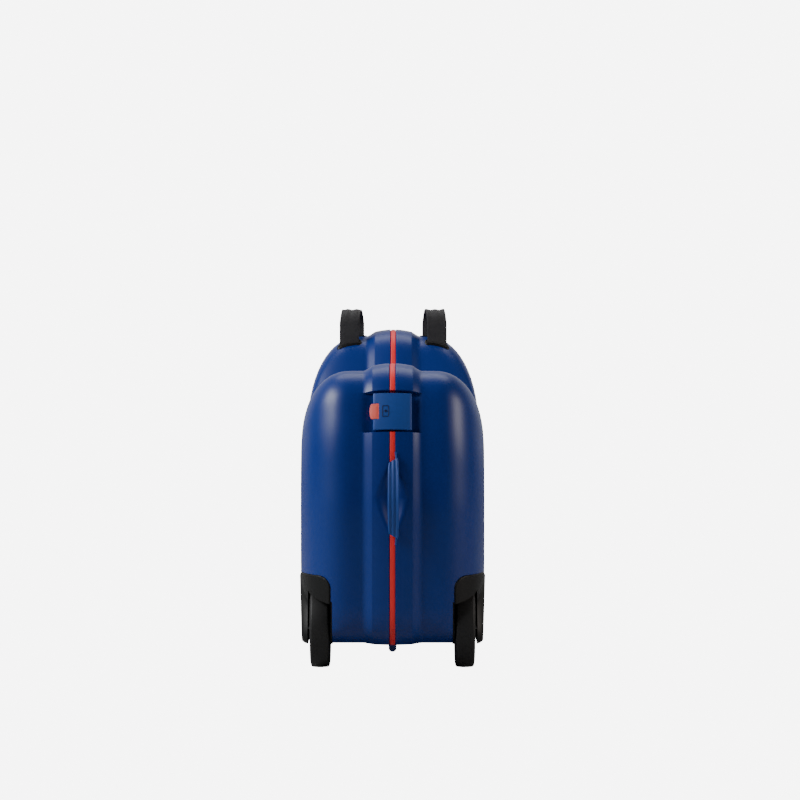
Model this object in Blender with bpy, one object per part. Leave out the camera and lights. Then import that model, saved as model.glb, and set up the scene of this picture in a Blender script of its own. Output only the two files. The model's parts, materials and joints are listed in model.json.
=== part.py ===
"""Child's ride-on suitcase: two moulded half shells hinged along the underside.

The case stands on two large rear wheels and two small front casters. X is the
width, Y the length with the rear end at -Y, and Z is up from the ground.
"""

import math

import bmesh
import bpy
import numpy as np
from mathutils import Matrix, Vector
from mathutils.bvhtree import BVHTree

MM = 0.001
GAP = 0.3 * MM
STEP = 0.12 * MM
BEYOND_SIDE = 130 * MM
BEYOND_END = 280 * MM
ABOVE = 600 * MM

# Case envelope
CASE_WIDTH = 210 * MM
END_REACH = 246 * MM
FLOOR_HEIGHT = 29 * MM
REAR_CREST = 335 * MM
FRONT_CREST = 372 * MM
SADDLE_HEIGHT = 264 * MM
SADDLE_PLACE = -20 * MM
END_BULGE_HEIGHT = 185 * MM
BOTTOM_CORNER = 36 * MM
REAR_CORNER = 46 * MM
FRONT_CORNER = 60 * MM
PROFILE_SMOOTHING = 7 * MM

# Shell section
WALL = 2.8 * MM
RIM_GAP = 3.4 * MM
RIB_HEIGHT = 8.5 * MM
RIB_HEIGHT_UNDER = 2.5 * MM
RIB_ARCH = 2.8 * MM
RIB_CREASE = 22.5 * MM
RIB_FOOT = 34 * MM
ROUNDING_REACH = 58 * MM
ROUNDING_REACH_FRONT = 65 * MM
ROUNDING_REACH_UNDER = 30 * MM
FLAT_HALF = CASE_WIDTH / 2 - ROUNDING_REACH
FLAT_HALF_FRONT = CASE_WIDTH / 2 - ROUNDING_REACH_FRONT
FLAT_HALF_UNDER = CASE_WIDTH / 2 - ROUNDING_REACH_UNDER
UNDER_ROUNDING = 22 * MM
UNDER_WIDTH_LOSS = 3 * MM
PANEL_LENGTH_SHARE = 0.59
PANEL_HEIGHT_SHARE = 0.38
PANEL_CENTRE = 175 * MM
STATION_COUNT = 48

# Seal band
BAND_LEFT = -3.0 * MM
BAND_RIGHT = RIM_GAP - GAP
BAND_LIP = 7.0 * MM
BAND_LIP_THICKNESS = 1.4 * MM
BAND_SET_BACK = 0.2 * MM

# Hinge
HINGE_DROP = 7 * MM
HINGE_HEIGHT = FLOOR_HEIGHT - HINGE_DROP
BARREL_RADIUS = 4.5 * MM
HINGE_PIN_RADIUS = 1.5 * MM
PIN_CLEARANCE = 0.15 * MM
HINGE_END_INSET = 52 * MM
HINGE_HALF_LENGTH = END_REACH - HINGE_END_INSET
KNUCKLE_COUNT = 7
KNUCKLE_GAP = 0.5 * MM
LEAF_THICKNESS = 2.0 * MM
LEAF_REACH = 18 * MM
LEAF_FROM_MIDDLE = 0.6 * MM

# Latch, measured along the end face: x across, v up, n outward
LATCH_LOW = 266.5 * MM
LATCH_HIGH = 309.5 * MM
LATCH_FLOOR = -2.0 * MM
PLATE_WIDTH = 43 * MM
PLATE_THICKNESS = 2.2 * MM
PLATE_GAP_TOP = 1.2 * MM
PLATE_GAP_BOTTOM = 0.7 * MM
LATCH_PIN_RADIUS = 0.9 * MM
LATCH_PIN_INSET = 2.4 * MM
LATCH_PIN_RISE = 2.6 * MM
LATCH_BARREL = 1.5 * MM
LATCH_KNUCKLE = 20 * MM
LATCH_LUG = 6 * MM
LATCH_BASE_TOP = 0.8 * MM
KEEPER_TOP = 0.4 * MM
CATCH_HALF_LENGTH = 5 * MM
CATCH_TOP = 0.9 * MM
FLAP_UNDERSIDE = 1.6 * MM
FLAP_SKIRT = 2 * MM
BUTTON_HEIGHT = 17.4 * MM
BUTTON_LENGTH = 10.4 * MM
BUTTON_OVERHANG = 3.9 * MM
BUTTON_TRAVEL = 3.0 * MM
BUTTON_FLOOR = 2.8 * MM
BUTTON_RAIL = 1.8 * MM
BUTTON_ROUNDING = 4 * MM
SPRING_LENGTH = 6 * MM
SPRING_RADIUS = 1.2 * MM
SPRING_WIRE = 0.25 * MM
SPRING_TURNS = 4
SPRING_HEIGHT = 3.7 * MM

# Grab handle
HANDLE_CENTRE = 194 * MM
HANDLE_HALF_HEIGHT = 51.5 * MM
HANDLE_BODY_HALF_HEIGHT = 42 * MM
HANDLE_LEFT = -5.1 * MM
HANDLE_RIGHT = 7.1 * MM
HANDLE_RISE = 11 * MM
HANDLE_THICKNESS = 6.0 * MM
HANDLE_FIN = 2.0 * MM
TONGUE_LENGTH = 8 * MM
TONGUE_PLACE = 37.5 * MM
SCOOP_HALF_HEIGHT = 48 * MM
SCOOP_HALF_WIDTH = 20.7 * MM
SCOOP_DEPTH = 12 * MM

# Rear wheels
WHEEL_RADIUS = 46 * MM
WHEEL_WIDTH = 22.4 * MM
WHEEL_INSET = 23.8 * MM
WHEEL_TRACK = CASE_WIDTH / 2 - WHEEL_INSET
REAR_AXLE_INSET = 56 * MM
REAR_AXLE_Y = -(END_REACH - REAR_AXLE_INSET)
REAR_AXLE_HEIGHT = WHEEL_RADIUS
TYRE_THICKNESS = 9 * MM
TYRE_EASE = 0.12
REAR_AXLE_RADIUS = 3.0 * MM
HUB_BOSS_RADIUS = 8 * MM
HUB_RIM = 3.5 * MM
HUB_RIM_SET_BACK = 3 * MM
HUB_WEB_HALF = 2 * MM
GUARD_RADIUS = 61 * MM
GUARD_CORNER = 14 * MM
GUARD_PROUD = 1.3 * MM
GUARD_DROP = 1.5 * MM
GUARD_ROUNDING = 7 * MM
GUARD_WIDTH_LOSS = 4.5 * MM
WELL_DEPTH = 38 * MM
WELL_SKIRT = 10.2 * MM
WELL_INNER_X = CASE_WIDTH / 2 - WELL_DEPTH
WELL_OUTER_X = CASE_WIDTH / 2 - WELL_SKIRT
GUARD_LAP = 0.5 * MM
GUARD_INNER_X = WELL_INNER_X - GUARD_LAP
WELL_RADIUS = 52 * MM
WELL_WALL = 2.5 * MM
VISOR_ANGLE = 107
VISOR_REACH = 26 * MM
VISOR_RISE = 40 * MM
VISOR_SLOPE = 0.38
CAP_RADIUS = 7 * MM
CAP_THICKNESS = 1.6 * MM

# Front casters
CASTER_SIDE_INSET = 47 * MM
CASTER_END_INSET = 56 * MM
CASTER_X = CASE_WIDTH / 2 - CASTER_SIDE_INSET
CASTER_Y = END_REACH - CASTER_END_INSET
CASTER_TRAIL = 10 * MM
CASTER_RADIUS = 20 * MM
CASTER_WIDTH = 14 * MM
CASTER_TYRE_THICKNESS = 5 * MM
CASTER_AXLE_RADIUS = 2.0 * MM
STEM_RADIUS = 4.0 * MM
CROWN_RADIUS = 14 * MM
CROWN_THICKNESS = 5 * MM
CROWN_CLEARANCE = 2.4 * MM
FORK_LEG = 2.6 * MM
CUP_RADIUS = 34.8 * MM
CUP_WALL = 2.4 * MM
CUP_CEILING = 3 * MM
CUP_RIM = 10 * MM
CUP_HEADROOM = 2 * MM
BOSS_HEIGHT = 24 * MM
BOSS_RADIUS = 8 * MM
CLIP_THICKNESS = 1.6 * MM

# Webbing loops
WEB_SIDE_INSET = 54 * MM
WEB_X = CASE_WIDTH / 2 - WEB_SIDE_INSET
WEB_TWIST = 3 * MM
WEB_WIDTH = 24 * MM
WEB_THICKNESS = 2.2 * MM
WEB_END_INSET = 139 * MM
WEB_Y = END_REACH - WEB_END_INSET
WEB_SPAN = 34 * MM
WEB_RISE = 37 * MM
WEB_TOP = FRONT_CREST + WEB_RISE
WEB_DEPTH = 11 * MM
BEZEL_MARGIN = 3.5 * MM
BEZEL_THICKNESS = 1.4 * MM
BEZEL_SEAT = 1.0 * MM

# Interior straps and pocket
STRAP_WIDTH = 25 * MM
STRAP_THICKNESS = 1.5 * MM
STRAP_HALF_LENGTH = 95 * MM
STRAP_HEIGHT = 185 * MM
BUCKLE_LENGTH = 46 * MM
BUCKLE_WIDTH = 34 * MM
BUCKLE_THICKNESS = 9 * MM
ANCHOR_LENGTH = 14 * MM
POCKET_LENGTH = 210 * MM
POCKET_HEIGHT = 64 * MM
POCKET_CENTRE = 160 * MM
POCKET_THICKNESS = 7 * MM


def smoothstep(low, high, value):
    """Eases from 0 at low to 1 at high."""
    t = np.clip((np.asarray(value) - low) / (high - low), 0, 1)
    return t * t * (3 - 2 * t)


def make_material(name, hex_colour, roughness, metallic=0.0):
    """Returns a Principled material of the sRGB colour."""
    channels = [int(hex_colour[i:i + 2], 16) / 255 for i in (0, 2, 4)]
    linear = [((c + 0.055) / 1.055) ** 2.4 if c > 0.04045 else c / 12.92 for c in channels]
    material = bpy.data.materials.new(name)
    material.use_nodes = True
    shader = material.node_tree.nodes["Principled BSDF"]
    shader.inputs["Base Color"].default_value = (*linear, 1)
    shader.inputs["Roughness"].default_value = roughness
    shader.inputs["Metallic"].default_value = metallic
    return material


def make_materials():
    """Returns the case's materials by name."""
    return {
        "blue": make_material("satin blue polypropylene", "06295C", 0.38),
        "coral": make_material("coral elastomer", "DD3F33", 0.5),
        "black": make_material("black polypropylene", "202122", 0.5),
        "rubber": make_material("tyre rubber", "242426", 0.7),
        "steel": make_material("zinc plated steel", "A9ABAE", 0.35, 1.0),
        "webbing": make_material("black polyester webbing", "252527", 0.85),
        "mesh": make_material("grey lining mesh", "3A3E47", 0.9),
    }


class Profile:
    """The rim curve of a half shell in the YZ plane, walked from the middle of
    the floor to the rear end, over both humps and down the front end."""

    def __init__(self):
        points = self.rounded(self.corners(), MM)
        points = self.smoothed(points, PROFILE_SMOOTHING, MM)
        start = int(np.argmin(np.abs(points[:, 0]) + 10 * (points[:, 1] > 0.1)))
        self.points = np.roll(points, -start, axis=0)
        closed = np.vstack([self.points, self.points[:1]])
        lengths = np.linalg.norm(np.diff(closed, axis=0), axis=1)
        self.reach = np.concatenate([[0], np.cumsum(lengths)])
        self.length = self.reach[-1]
        ahead = np.roll(self.points, -1, axis=0) - np.roll(self.points, 1, axis=0)
        ahead /= np.linalg.norm(ahead, axis=1)[:, None]
        self.normals = np.column_stack([-ahead[:, 1], ahead[:, 0]])

    @staticmethod
    def corners():
        """Corner points (y, z) of the side view with their fillet radii."""
        return [
            (0, FLOOR_HEIGHT, 0),
            (-END_REACH + 3 * MM, FLOOR_HEIGHT, BOTTOM_CORNER),
            (-END_REACH, END_BULGE_HEIGHT, END_REACH),
            (-END_REACH + 5.5 * MM, LATCH_LOW - 6 * MM, END_REACH),
            (-END_REACH + 29 * MM, REAR_CREST + 8 * MM, REAR_CORNER),
            (-0.46 * END_REACH, REAR_CREST - 17 * MM, 0.2 * END_REACH),
            (SADDLE_PLACE - 20 * MM, SADDLE_HEIGHT, 0.28 * END_REACH),
            (SADDLE_PLACE + 38 * MM, SADDLE_HEIGHT + 2 * MM, 0.24 * END_REACH),
            (0.36 * END_REACH, FRONT_CREST, 0.17 * END_REACH),
            (0.585 * END_REACH, FRONT_CREST + 4 * MM, END_REACH),
            (END_REACH - 20 * MM, FRONT_CREST - 7 * MM, FRONT_CORNER),
            (END_REACH - 5.5 * MM, LATCH_LOW - 6 * MM, END_REACH),
            (END_REACH, END_BULGE_HEIGHT, END_REACH),
            (END_REACH - 3 * MM, FLOOR_HEIGHT, BOTTOM_CORNER),
        ]

    @staticmethod
    def rounded(corners, step):
        """Samples the polygon with each corner replaced by its fillet arc."""
        points = []
        count = len(corners)
        for i, (y, z, radius) in enumerate(corners):
            here = np.array([y, z])
            back = np.array(corners[i - 1][:2]) - here
            ahead = np.array(corners[(i + 1) % count][:2]) - here
            back_length, ahead_length = np.linalg.norm(back), np.linalg.norm(ahead)
            back, ahead = back / back_length, ahead / ahead_length
            turn = math.pi - math.acos(float(np.clip(back @ ahead, -1, 1)))
            if radius == 0 or turn < 1e-6:
                points.append(here)
                continue
            tangent = min(radius * math.tan(turn / 2), 0.47 * back_length, 0.47 * ahead_length)
            radius = tangent / math.tan(turn / 2)
            bisector = (back + ahead) / np.linalg.norm(back + ahead)
            centre = here + bisector * math.hypot(radius, tangent)
            first = here + back * tangent - centre
            last = here + ahead * tangent - centre
            steps = max(2, int(radius * turn / step))
            for k in range(steps + 1):
                t = k / steps
                mix = (math.sin((1 - t) * turn) * first + math.sin(t * turn) * last)
                points.append(centre + mix / math.sin(turn))
        points = np.array(points)
        closed = np.vstack([points, points[:1]])
        reach = np.concatenate([[0], np.cumsum(np.linalg.norm(np.diff(closed, axis=0), axis=1))])
        even = np.arange(0, reach[-1], step)
        return np.column_stack([np.interp(even, reach, closed[:, k]) for k in (0, 1)])

    @staticmethod
    def smoothed(points, width, step):
        """Rounds off the changes of curvature with a Gaussian along the curve."""
        reach = int(4 * width / step)
        offsets = np.arange(-reach, reach + 1)
        weights = np.exp(-0.5 * (offsets * step / width) ** 2)
        weights /= weights.sum()
        total = sum(w * np.roll(points, -k, axis=0) for k, w in zip(offsets, weights))
        return total

    def at(self, reach):
        """Returns the points and outward normals at distances along the curve."""
        reach = np.mod(np.asarray(reach, float), self.length)
        index = self.reach[:-1]
        def read(values):
            return np.column_stack(
                [np.interp(reach, index, values[:, k], period=self.length) for k in (0, 1)])
        normals = read(self.normals)
        return read(self.points), normals / np.linalg.norm(normals, axis=1)[:, None]

    def reach_at_height(self, height, front):
        """Returns the distance along the curve where an end face has a height."""
        side = self.points[:, 0] > 0 if front else self.points[:, 0] < 0
        steep = np.abs(self.normals[:, 0]) > 0.6
        outer = np.abs(self.points[:, 0]) > 0.7 * END_REACH
        error = np.abs(self.points[:, 1] - height) + 10 * ~(side & steep & outer)
        return float(self.reach[int(np.argmin(error))])


def latch_spans(profile):
    """Returns the stretches of the rim curve that the two latches take."""
    spans = []
    for front in (False, True):
        ends = [profile.reach_at_height(h, front) for h in (LATCH_LOW, LATCH_HIGH)]
        spans.append((min(ends), max(ends)))
    return spans


def outside_distance(reach, span):
    """Distance along the curve from a stretch, 0 inside it."""
    low, high = span
    return np.maximum(0, np.maximum(low - reach, reach - high))


def under_share(normals):
    """1 on the underside, 0 on the ends and the top."""
    return smoothstep(0.35, 0.95, -normals[:, 1])


def rib_relief(profile, across, reach, notched):
    """Height of the rib above the base surface: an arch to the crease, a flank
    to the foot, less the finger scoop. The latch notch is sharp outside
    (notched) and eased inside."""
    points, normals = profile.at(reach)
    under = under_share(normals)[None, :]
    height = RIB_HEIGHT * (1 - under) + RIB_HEIGHT_UNDER * under
    x = np.abs(np.asarray(across))[:, None]
    arch = 1 - RIB_ARCH / RIB_HEIGHT * (x / RIB_CREASE) ** 2
    crest = 1 - RIB_ARCH / RIB_HEIGHT
    flank = crest * (1 - smoothstep(RIB_CREASE, RIB_FOOT, x))
    relief = height * np.where(x < RIB_CREASE, arch, flank)
    rise = np.abs(points[:, 1] - HANDLE_CENTRE) / SCOOP_HALF_HEIGHT
    ends = np.abs(normals[:, 0]) > 0.8
    half = SCOOP_HALF_WIDTH * np.clip(1 - rise ** 1.6, 1e-6, 1)[None, :]
    scoop = SCOOP_DEPTH * np.clip(1 - (x / half) ** 2, 0, 1) * ends[None, :]
    scoop = scoop * np.clip(half / SCOOP_HALF_WIDTH * 2.2, 0, 1)
    relief = relief - scoop
    floor = LATCH_FLOOR * (1 - smoothstep(0.8 * RIB_FOOT, RIB_FOOT, x))
    for span in latch_spans(profile):
        away = outside_distance(reach, span)
        if notched:
            inside = (away <= 0).astype(float)
        else:
            inside = 1 - smoothstep(3 * MM, 12 * MM, away)
        relief = relief * (1 - inside)[None, :] + floor * inside[None, :]
    return relief


def stations(profile, count):
    """Distances along the rim curve, closer where it bends, with pairs at the
    latch notch's edges and the limits of its easing."""
    turn = np.abs(np.diff(np.unwrap(np.arctan2(profile.normals[:, 1], profile.normals[:, 0]))))
    steps = np.diff(profile.reach[:-1]) + 0.045 * turn
    weight = np.concatenate([[0], np.cumsum(steps)])
    even = np.linspace(0, weight[-1], count, endpoint=False)
    base = np.interp(even, weight, profile.reach[:-1])
    special = []
    for low, high in latch_spans(profile):
        for edge, out in ((low, -1), (high, 1)):
            special += [edge, edge + out * GAP, edge + out * 3 * MM, edge + out * 12 * MM]
    keep = [b for b in base if min(abs(b - s) for s in special) > 3 * MM]
    return np.array(sorted(keep + special))


class ShellSurface:
    """Grid of a half shell on the +X side: rows run from the rim to the flat
    side panel, columns run around the rim curve."""

    rib_rows = (RIM_GAP, 12 * MM, RIB_CREASE, 28 * MM, RIB_FOOT)
    arc_angles = (20, 42, 65, 90)
    drop = 0.0
    rounding = UNDER_ROUNDING
    width_loss = UNDER_WIDTH_LOSS

    def __init__(self, profile, count=STATION_COUNT):
        self.profile = profile
        self.reach = stations(profile, count)
        self.base = self.base_points()
        self.normals = self.base_normals()

    def base_points(self):
        """The surface without its rib, as rows of x, y, z points."""
        rim, normals = self.profile.at(self.reach)
        under = under_share(normals)
        rim[:, 1] -= self.drop * under
        front = smoothstep(0.02, 0.09, rim[:, 0]) * smoothstep(0.1, 0.8, normals[:, 1])
        flat = FLAT_HALF + (FLAT_HALF_FRONT - FLAT_HALF) * front
        flat = flat * (1 - under) + FLAT_HALF_UNDER * under
        panel = np.column_stack([
            PANEL_LENGTH_SHARE * rim[:, 0],
            PANEL_CENTRE + PANEL_HEIGHT_SHARE * (rim[:, 1] - PANEL_CENTRE)])
        depth = np.linalg.norm(panel - rim, axis=1)
        rounding = 0.92 * depth * (1 - under) + self.rounding * under
        power = 2.2
        full = CASE_WIDTH / 2 - self.width_loss * under - 0.15 * MM
        rows = [np.column_stack([np.full(len(rim), x), rim]) for x in self.rib_rows]
        rows.append(np.column_stack([flat, rim]))
        for degrees in self.arc_angles:
            angle = math.radians(degrees)
            inward = (1 - max(0.0, math.cos(angle)) ** (2 / power)) * rounding / depth
            x = flat + (full - flat) * math.sin(angle) ** (2 / power)
            rows.append(np.column_stack([x, rim + (panel - rim) * inward[:, None]]))
        rows.append(np.column_stack([np.full(len(rim), CASE_WIDTH / 2), panel]))
        return np.array(rows)

    def base_normals(self):
        """Outward unit normals of the base surface."""
        around = np.roll(self.base, -1, axis=1) - np.roll(self.base, 1, axis=1)
        outward = np.gradient(self.base, axis=0)
        normals = np.cross(outward, around)
        normals /= np.linalg.norm(normals, axis=2)[:, :, None]
        flat_rows = len(self.rib_rows)
        rim_normals = self.profile.at(self.reach)[1]
        normals[:flat_rows, :, 0] = 0
        normals[:flat_rows, :, 1:] = rim_normals[None]
        normals[-1] = (1, 0, 0)
        return normals

    def relief(self, notched):
        """Rib heights on the rows that have them, 0 on the others."""
        values = np.zeros(self.base.shape[:2])
        rows = len(self.rib_rows)
        values[:rows] = rib_relief(self.profile, self.rib_rows, self.reach, notched)
        return values

    def outer(self):
        """The moulded outer skin."""
        return self.base + self.normals * self.relief(True)[:, :, None]

    def inner(self):
        """The inner skin, one wall thickness in."""
        return self.base + self.normals * (self.relief(False) - WALL)[:, :, None]

    def offset(self, distance):
        """The plain surface moved outward by a distance."""
        return self.base + self.normals * distance


class GuardSurface(ShellSurface):
    """The surface that the wheel housings follow: lower than the shell's
    floor, and squarer at its edges."""

    drop = GUARD_DROP
    rounding = GUARD_ROUNDING
    width_loss = GUARD_WIDTH_LOSS


def grid_faces(rows, columns, first=0, flip=False):
    """Quads of a grid that closes around its columns."""
    faces = []
    for r in range(rows - 1):
        for c in range(columns):
            d = (c + 1) % columns
            quad = [first + r * columns + c, first + r * columns + d,
                    first + (r + 1) * columns + d, first + (r + 1) * columns + c]
            faces.append(quad[::-1] if flip else quad)
    return faces


def mesh_object(name, vertices, faces, smooth=True):
    """Makes an object whose faces point out of the volume they enclose."""
    mesh = bpy.data.meshes.new(name)
    mesh.from_pydata([tuple(v) for v in vertices], [], faces)
    work = bmesh.new()
    work.from_mesh(mesh)
    bmesh.ops.recalc_face_normals(work, faces=work.faces)
    if work.calc_volume(signed=True) < 0:
        bmesh.ops.reverse_faces(work, faces=work.faces)
    work.to_mesh(mesh)
    work.free()
    if smooth:
        mesh.shade_smooth()
        mesh.set_sharp_from_angle(angle=math.radians(35))
    body = bpy.data.objects.new(name, mesh)
    bpy.context.collection.objects.link(body)
    return body


def shell_object(name, surface, side):
    """A half shell: outer skin, inner skin, rim strip and side panel."""
    outer, inner = surface.outer(), surface.inner()
    rows, columns = outer.shape[:2]
    half = rows * columns
    vertices = np.concatenate([outer.reshape(-1, 3), inner.reshape(-1, 3)]) * (side, 1, 1)
    faces = grid_faces(rows, columns) + grid_faces(rows, columns, half, True)
    for c in range(columns):
        d = (c + 1) % columns
        faces.append([d, c, half + c, half + d])
    last = (rows - 1) * columns
    faces.append([last + c for c in range(columns)])
    faces.append([half + last + c for c in reversed(range(columns))])
    return mesh_object(name, vertices, faces)


def half_body(name, surface, distance, side):
    """A solid half of the case's plain shape, moved outward by a distance."""
    grid = surface.offset(distance)
    rows, columns = grid.shape[:2]
    faces = grid_faces(rows, columns)
    faces.append([c for c in reversed(range(columns))])
    faces.append([(rows - 1) * columns + c for c in range(columns)])
    return mesh_object(name, grid.reshape(-1, 3) * (side, 1, 1), faces)


def closed_volume(mesh):
    """Volume of a closed mesh, or 0 where it is open or empty."""
    work = bmesh.new()
    work.from_mesh(mesh)
    whole = len(work.faces) > 0 and all(len(edge.link_faces) == 2 for edge in work.edges)
    volume = work.calc_volume(signed=True) if whole else 0.0
    work.free()
    return volume


def combine(target, tool, operation):
    """Applies a Boolean of tool on target and removes the tool. The manifold
    solver takes over where the exact one leaves a result that can't be right."""
    before = closed_volume(target.data)
    least = 0.999 * before if operation == "UNION" else 0.0
    most = before + closed_volume(tool.data) if operation == "UNION" else 1.001 * before
    for solver in ("EXACT", "MANIFOLD"):
        modifier = target.modifiers.new(operation.lower(), "BOOLEAN")
        modifier.operation = operation
        modifier.solver = solver
        modifier.object = tool
        graph = bpy.context.evaluated_depsgraph_get()
        mesh = bpy.data.meshes.new_from_object(target.evaluated_get(graph))
        target.modifiers.clear()
        if least < closed_volume(mesh) <= 1.001 * most:
            break
    target.data = mesh
    bpy.data.objects.remove(tool)
    return target


def cut(target, *tools):
    """Cuts each tool out of the target."""
    for tool in tools:
        combine(target, tool, "DIFFERENCE")
    return target


def unite(target, *tools):
    """Joins each tool to the target."""
    for tool in tools:
        combine(target, tool, "UNION")
    return target


def box(low, high, place=None):
    """A box between two corners, moved by place where one is given."""
    xs, ys, zs = zip(low, high)
    corners = [(x, y, z) for x in xs for y in ys for z in zs]
    faces = [[0, 1, 3, 2], [4, 6, 7, 5], [0, 4, 5, 1], [2, 3, 7, 6], [0, 2, 6, 4], [1, 5, 7, 3]]
    return mesh_object("box", moved(corners, place), faces, smooth=False)


def moved(points, place):
    """Points under a 4 by 4 placement, which may be a reflection."""
    if place is None:
        return [tuple(p) for p in points]
    return [tuple(place @ Vector(p)) for p in points]


def prism(outline, axis, low, high, place=None):
    """Extrudes an outline along X, Y or Z. The outline's two values are the
    other two axes in order."""
    def point(pair, value):
        values = list(pair)
        values.insert("XYZ".index(axis), value)
        return tuple(values)
    count = len(outline)
    points = [point(p, low) for p in outline] + [point(p, high) for p in outline]
    faces = [[i, (i + 1) % count, count + (i + 1) % count, count + i] for i in range(count)]
    faces += [list(range(count))[::-1], list(range(count, 2 * count))]
    return mesh_object("prism", moved(points, place), faces)


def arc(centre, radius, start, end, count):
    """Points on an arc between two angles in degrees."""
    angles = np.radians(np.linspace(start, end, count))
    return [(centre[0] + radius * math.cos(a), centre[1] + radius * math.sin(a)) for a in angles]


def turned(profile, segments, place=None):
    """Turns a profile of (radius, height) about Z. A profile that starts and
    ends on the axis makes a solid, any other closed one makes a ring."""
    points, rings = [], []
    for radius, height in profile:
        if radius == 0:
            rings.append([len(points)] * segments)
            points.append((0, 0, height))
            continue
        rings.append(list(range(len(points), len(points) + segments)))
        for k in range(segments):
            angle = 2 * math.pi * k / segments
            points.append((radius * math.cos(angle), radius * math.sin(angle), height))
    solid = profile[0][0] == 0 and profile[-1][0] == 0
    pairs = list(zip(rings, rings[1:] + ([] if solid else rings[:1])))
    faces = []
    for low, high in pairs:
        for k in range(segments):
            m = (k + 1) % segments
            corners = [low[k], low[m], high[m], high[k]]
            faces.append(list(dict.fromkeys(corners)))
    return mesh_object("turned", moved(points, place), faces)


def along_x(x, y, z):
    """Placement that lays a turned shape's axis along +X through a point."""
    return Matrix.Translation((x, y, z)) @ Matrix.Rotation(math.radians(90), 4, "Y")


def rod(radius, low, high, segments, y, z):
    """A round bar along X."""
    profile = [(0, low), (radius, low), (radius, high), (0, high)]
    return turned(profile, segments, along_x(0, y, z))


def finish(body, name, material, parent=None, origin=(0, 0, 0)):
    """Names an object, moves its origin to a point and parents it."""
    body.name = name
    body.data.name = name
    offset = Vector(origin)
    body.data.transform(Matrix.Translation(-offset))
    body.data.materials.clear()
    body.data.materials.append(material)
    if parent is None:
        body.location = offset
    else:
        body.parent = parent
        body.location = offset - parent.location
    return body


def joint_empty(name, place, parent=None):
    """An empty on a joint's axis, with the moving pieces under it."""
    empty = bpy.data.objects.new(name, None)
    empty.empty_display_size = 0.02
    if parent is None:
        empty.location = place
    else:
        empty.parent = parent
        empty.location = Vector(place) - parent.location
    bpy.context.collection.objects.link(empty)
    return empty


class EndFrame:
    """Axes on an end face at a height: x across, v up the face, n outward.
    On the front end the frame is the rear one's mirror image."""

    def __init__(self, profile, reach, front):
        points, normals = profile.at([reach])
        normal = Vector((0, *normals[0]))
        up = Vector((0, -normal.z, normal.y)) if front else Vector((0, normal.z, -normal.y))
        self.origin = Vector((0, *points[0]))
        self.place = Matrix.Translation(self.origin) @ Matrix((
            (1, 0, 0, 0), (0, up.y, normal.y, 0), (0, up.z, normal.z, 0), (0, 0, 0, 1)))

    def world(self, x, v, n):
        """Returns a point of the frame in world coordinates."""
        return self.place @ Vector((x, v, n))


def build_shell(surface, side, handles):
    """One half shell with its cut-outs."""
    name = "right_shell" if side > 0 else "left_shell"
    shell = shell_object(name, surface, side)
    cut(shell, guard_block(side, GAP), well_block(side, WELL_WALL + GAP))
    cup = turned([(0, 0), (CUP_RADIUS + GAP, 0), (CUP_RADIUS + GAP, cup_top() + GAP),
                  (0, cup_top() + GAP)], 40, Matrix.Translation((side * CASTER_X, CASTER_Y, 0)))
    cut(shell, cup)
    if side > 0:
        for handle in handles:
            for v in (-TONGUE_PLACE, TONGUE_PLACE):
                cut(shell, tongue(handle, v, GAP))
    for slot in webbing_slots(side):
        cut(shell, slot)
    return shell


def build_band(profile, surface, handles):
    """Seal band in the seam, fixed to the right shell by an inner lip."""
    length = profile.length
    start = profile_reach_under(profile, -HINGE_HALF_LENGTH - 2 * MM)
    end = profile_reach_under(profile, HINGE_HALF_LENGTH + 2 * MM)
    reach = np.array([start] + [s for s in surface.reach if start < s < end] + [end])
    points, normals = profile.at(reach)
    top = rib_relief(profile, [0], reach, True)[0] - BAND_SET_BACK
    rim, next_row = rib_relief(profile, surface.rib_rows[:2], reach, False)
    share = (BAND_LIP - surface.rib_rows[0]) / (surface.rib_rows[1] - surface.rib_rows[0])
    seat = np.minimum(rim, rim + (next_row - rim) * share) - WALL - GAP
    chamfer = 0.9 * MM
    sections = []
    for k in range(len(reach)):
        outline = [
            (BAND_LEFT, top[k] - chamfer), (BAND_LEFT + chamfer, top[k]),
            (BAND_RIGHT - chamfer, top[k]), (BAND_RIGHT, top[k] - chamfer),
            (BAND_RIGHT, seat[k]), (BAND_LIP, seat[k]),
            (BAND_LIP, seat[k] - BAND_LIP_THICKNESS), (BAND_LEFT, seat[k] - BAND_LIP_THICKNESS)]
        sections.append([(x, *(points[k] + normals[k] * n)) for x, n in outline])
    band = swept(sections)
    for handle in handles:
        for v in (-TONGUE_PLACE, TONGUE_PLACE):
            cutter = tongue(handle, v, 2 * GAP)
            cut(band, cutter)
    return band


def profile_reach_under(profile, y):
    """Distance along the rim curve to a place on the floor."""
    floor = profile.normals[:, 1] < -0.9
    error = np.abs(profile.points[:, 0] - y) + 10 * ~floor
    return float(profile.reach[int(np.argmin(error))])


def swept(sections):
    """A solid through a row of outlines, capped at both ends."""
    count = len(sections[0])
    points = [p for section in sections for p in section]
    faces = []
    for k in range(len(sections) - 1):
        for i in range(count):
            j = (i + 1) % count
            faces.append([k * count + i, k * count + j, (k + 1) * count + j, (k + 1) * count + i])
    last = (len(sections) - 1) * count
    faces += [list(range(count)), [last + i for i in reversed(range(count))]]
    return mesh_object("swept", points, faces)


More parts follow.
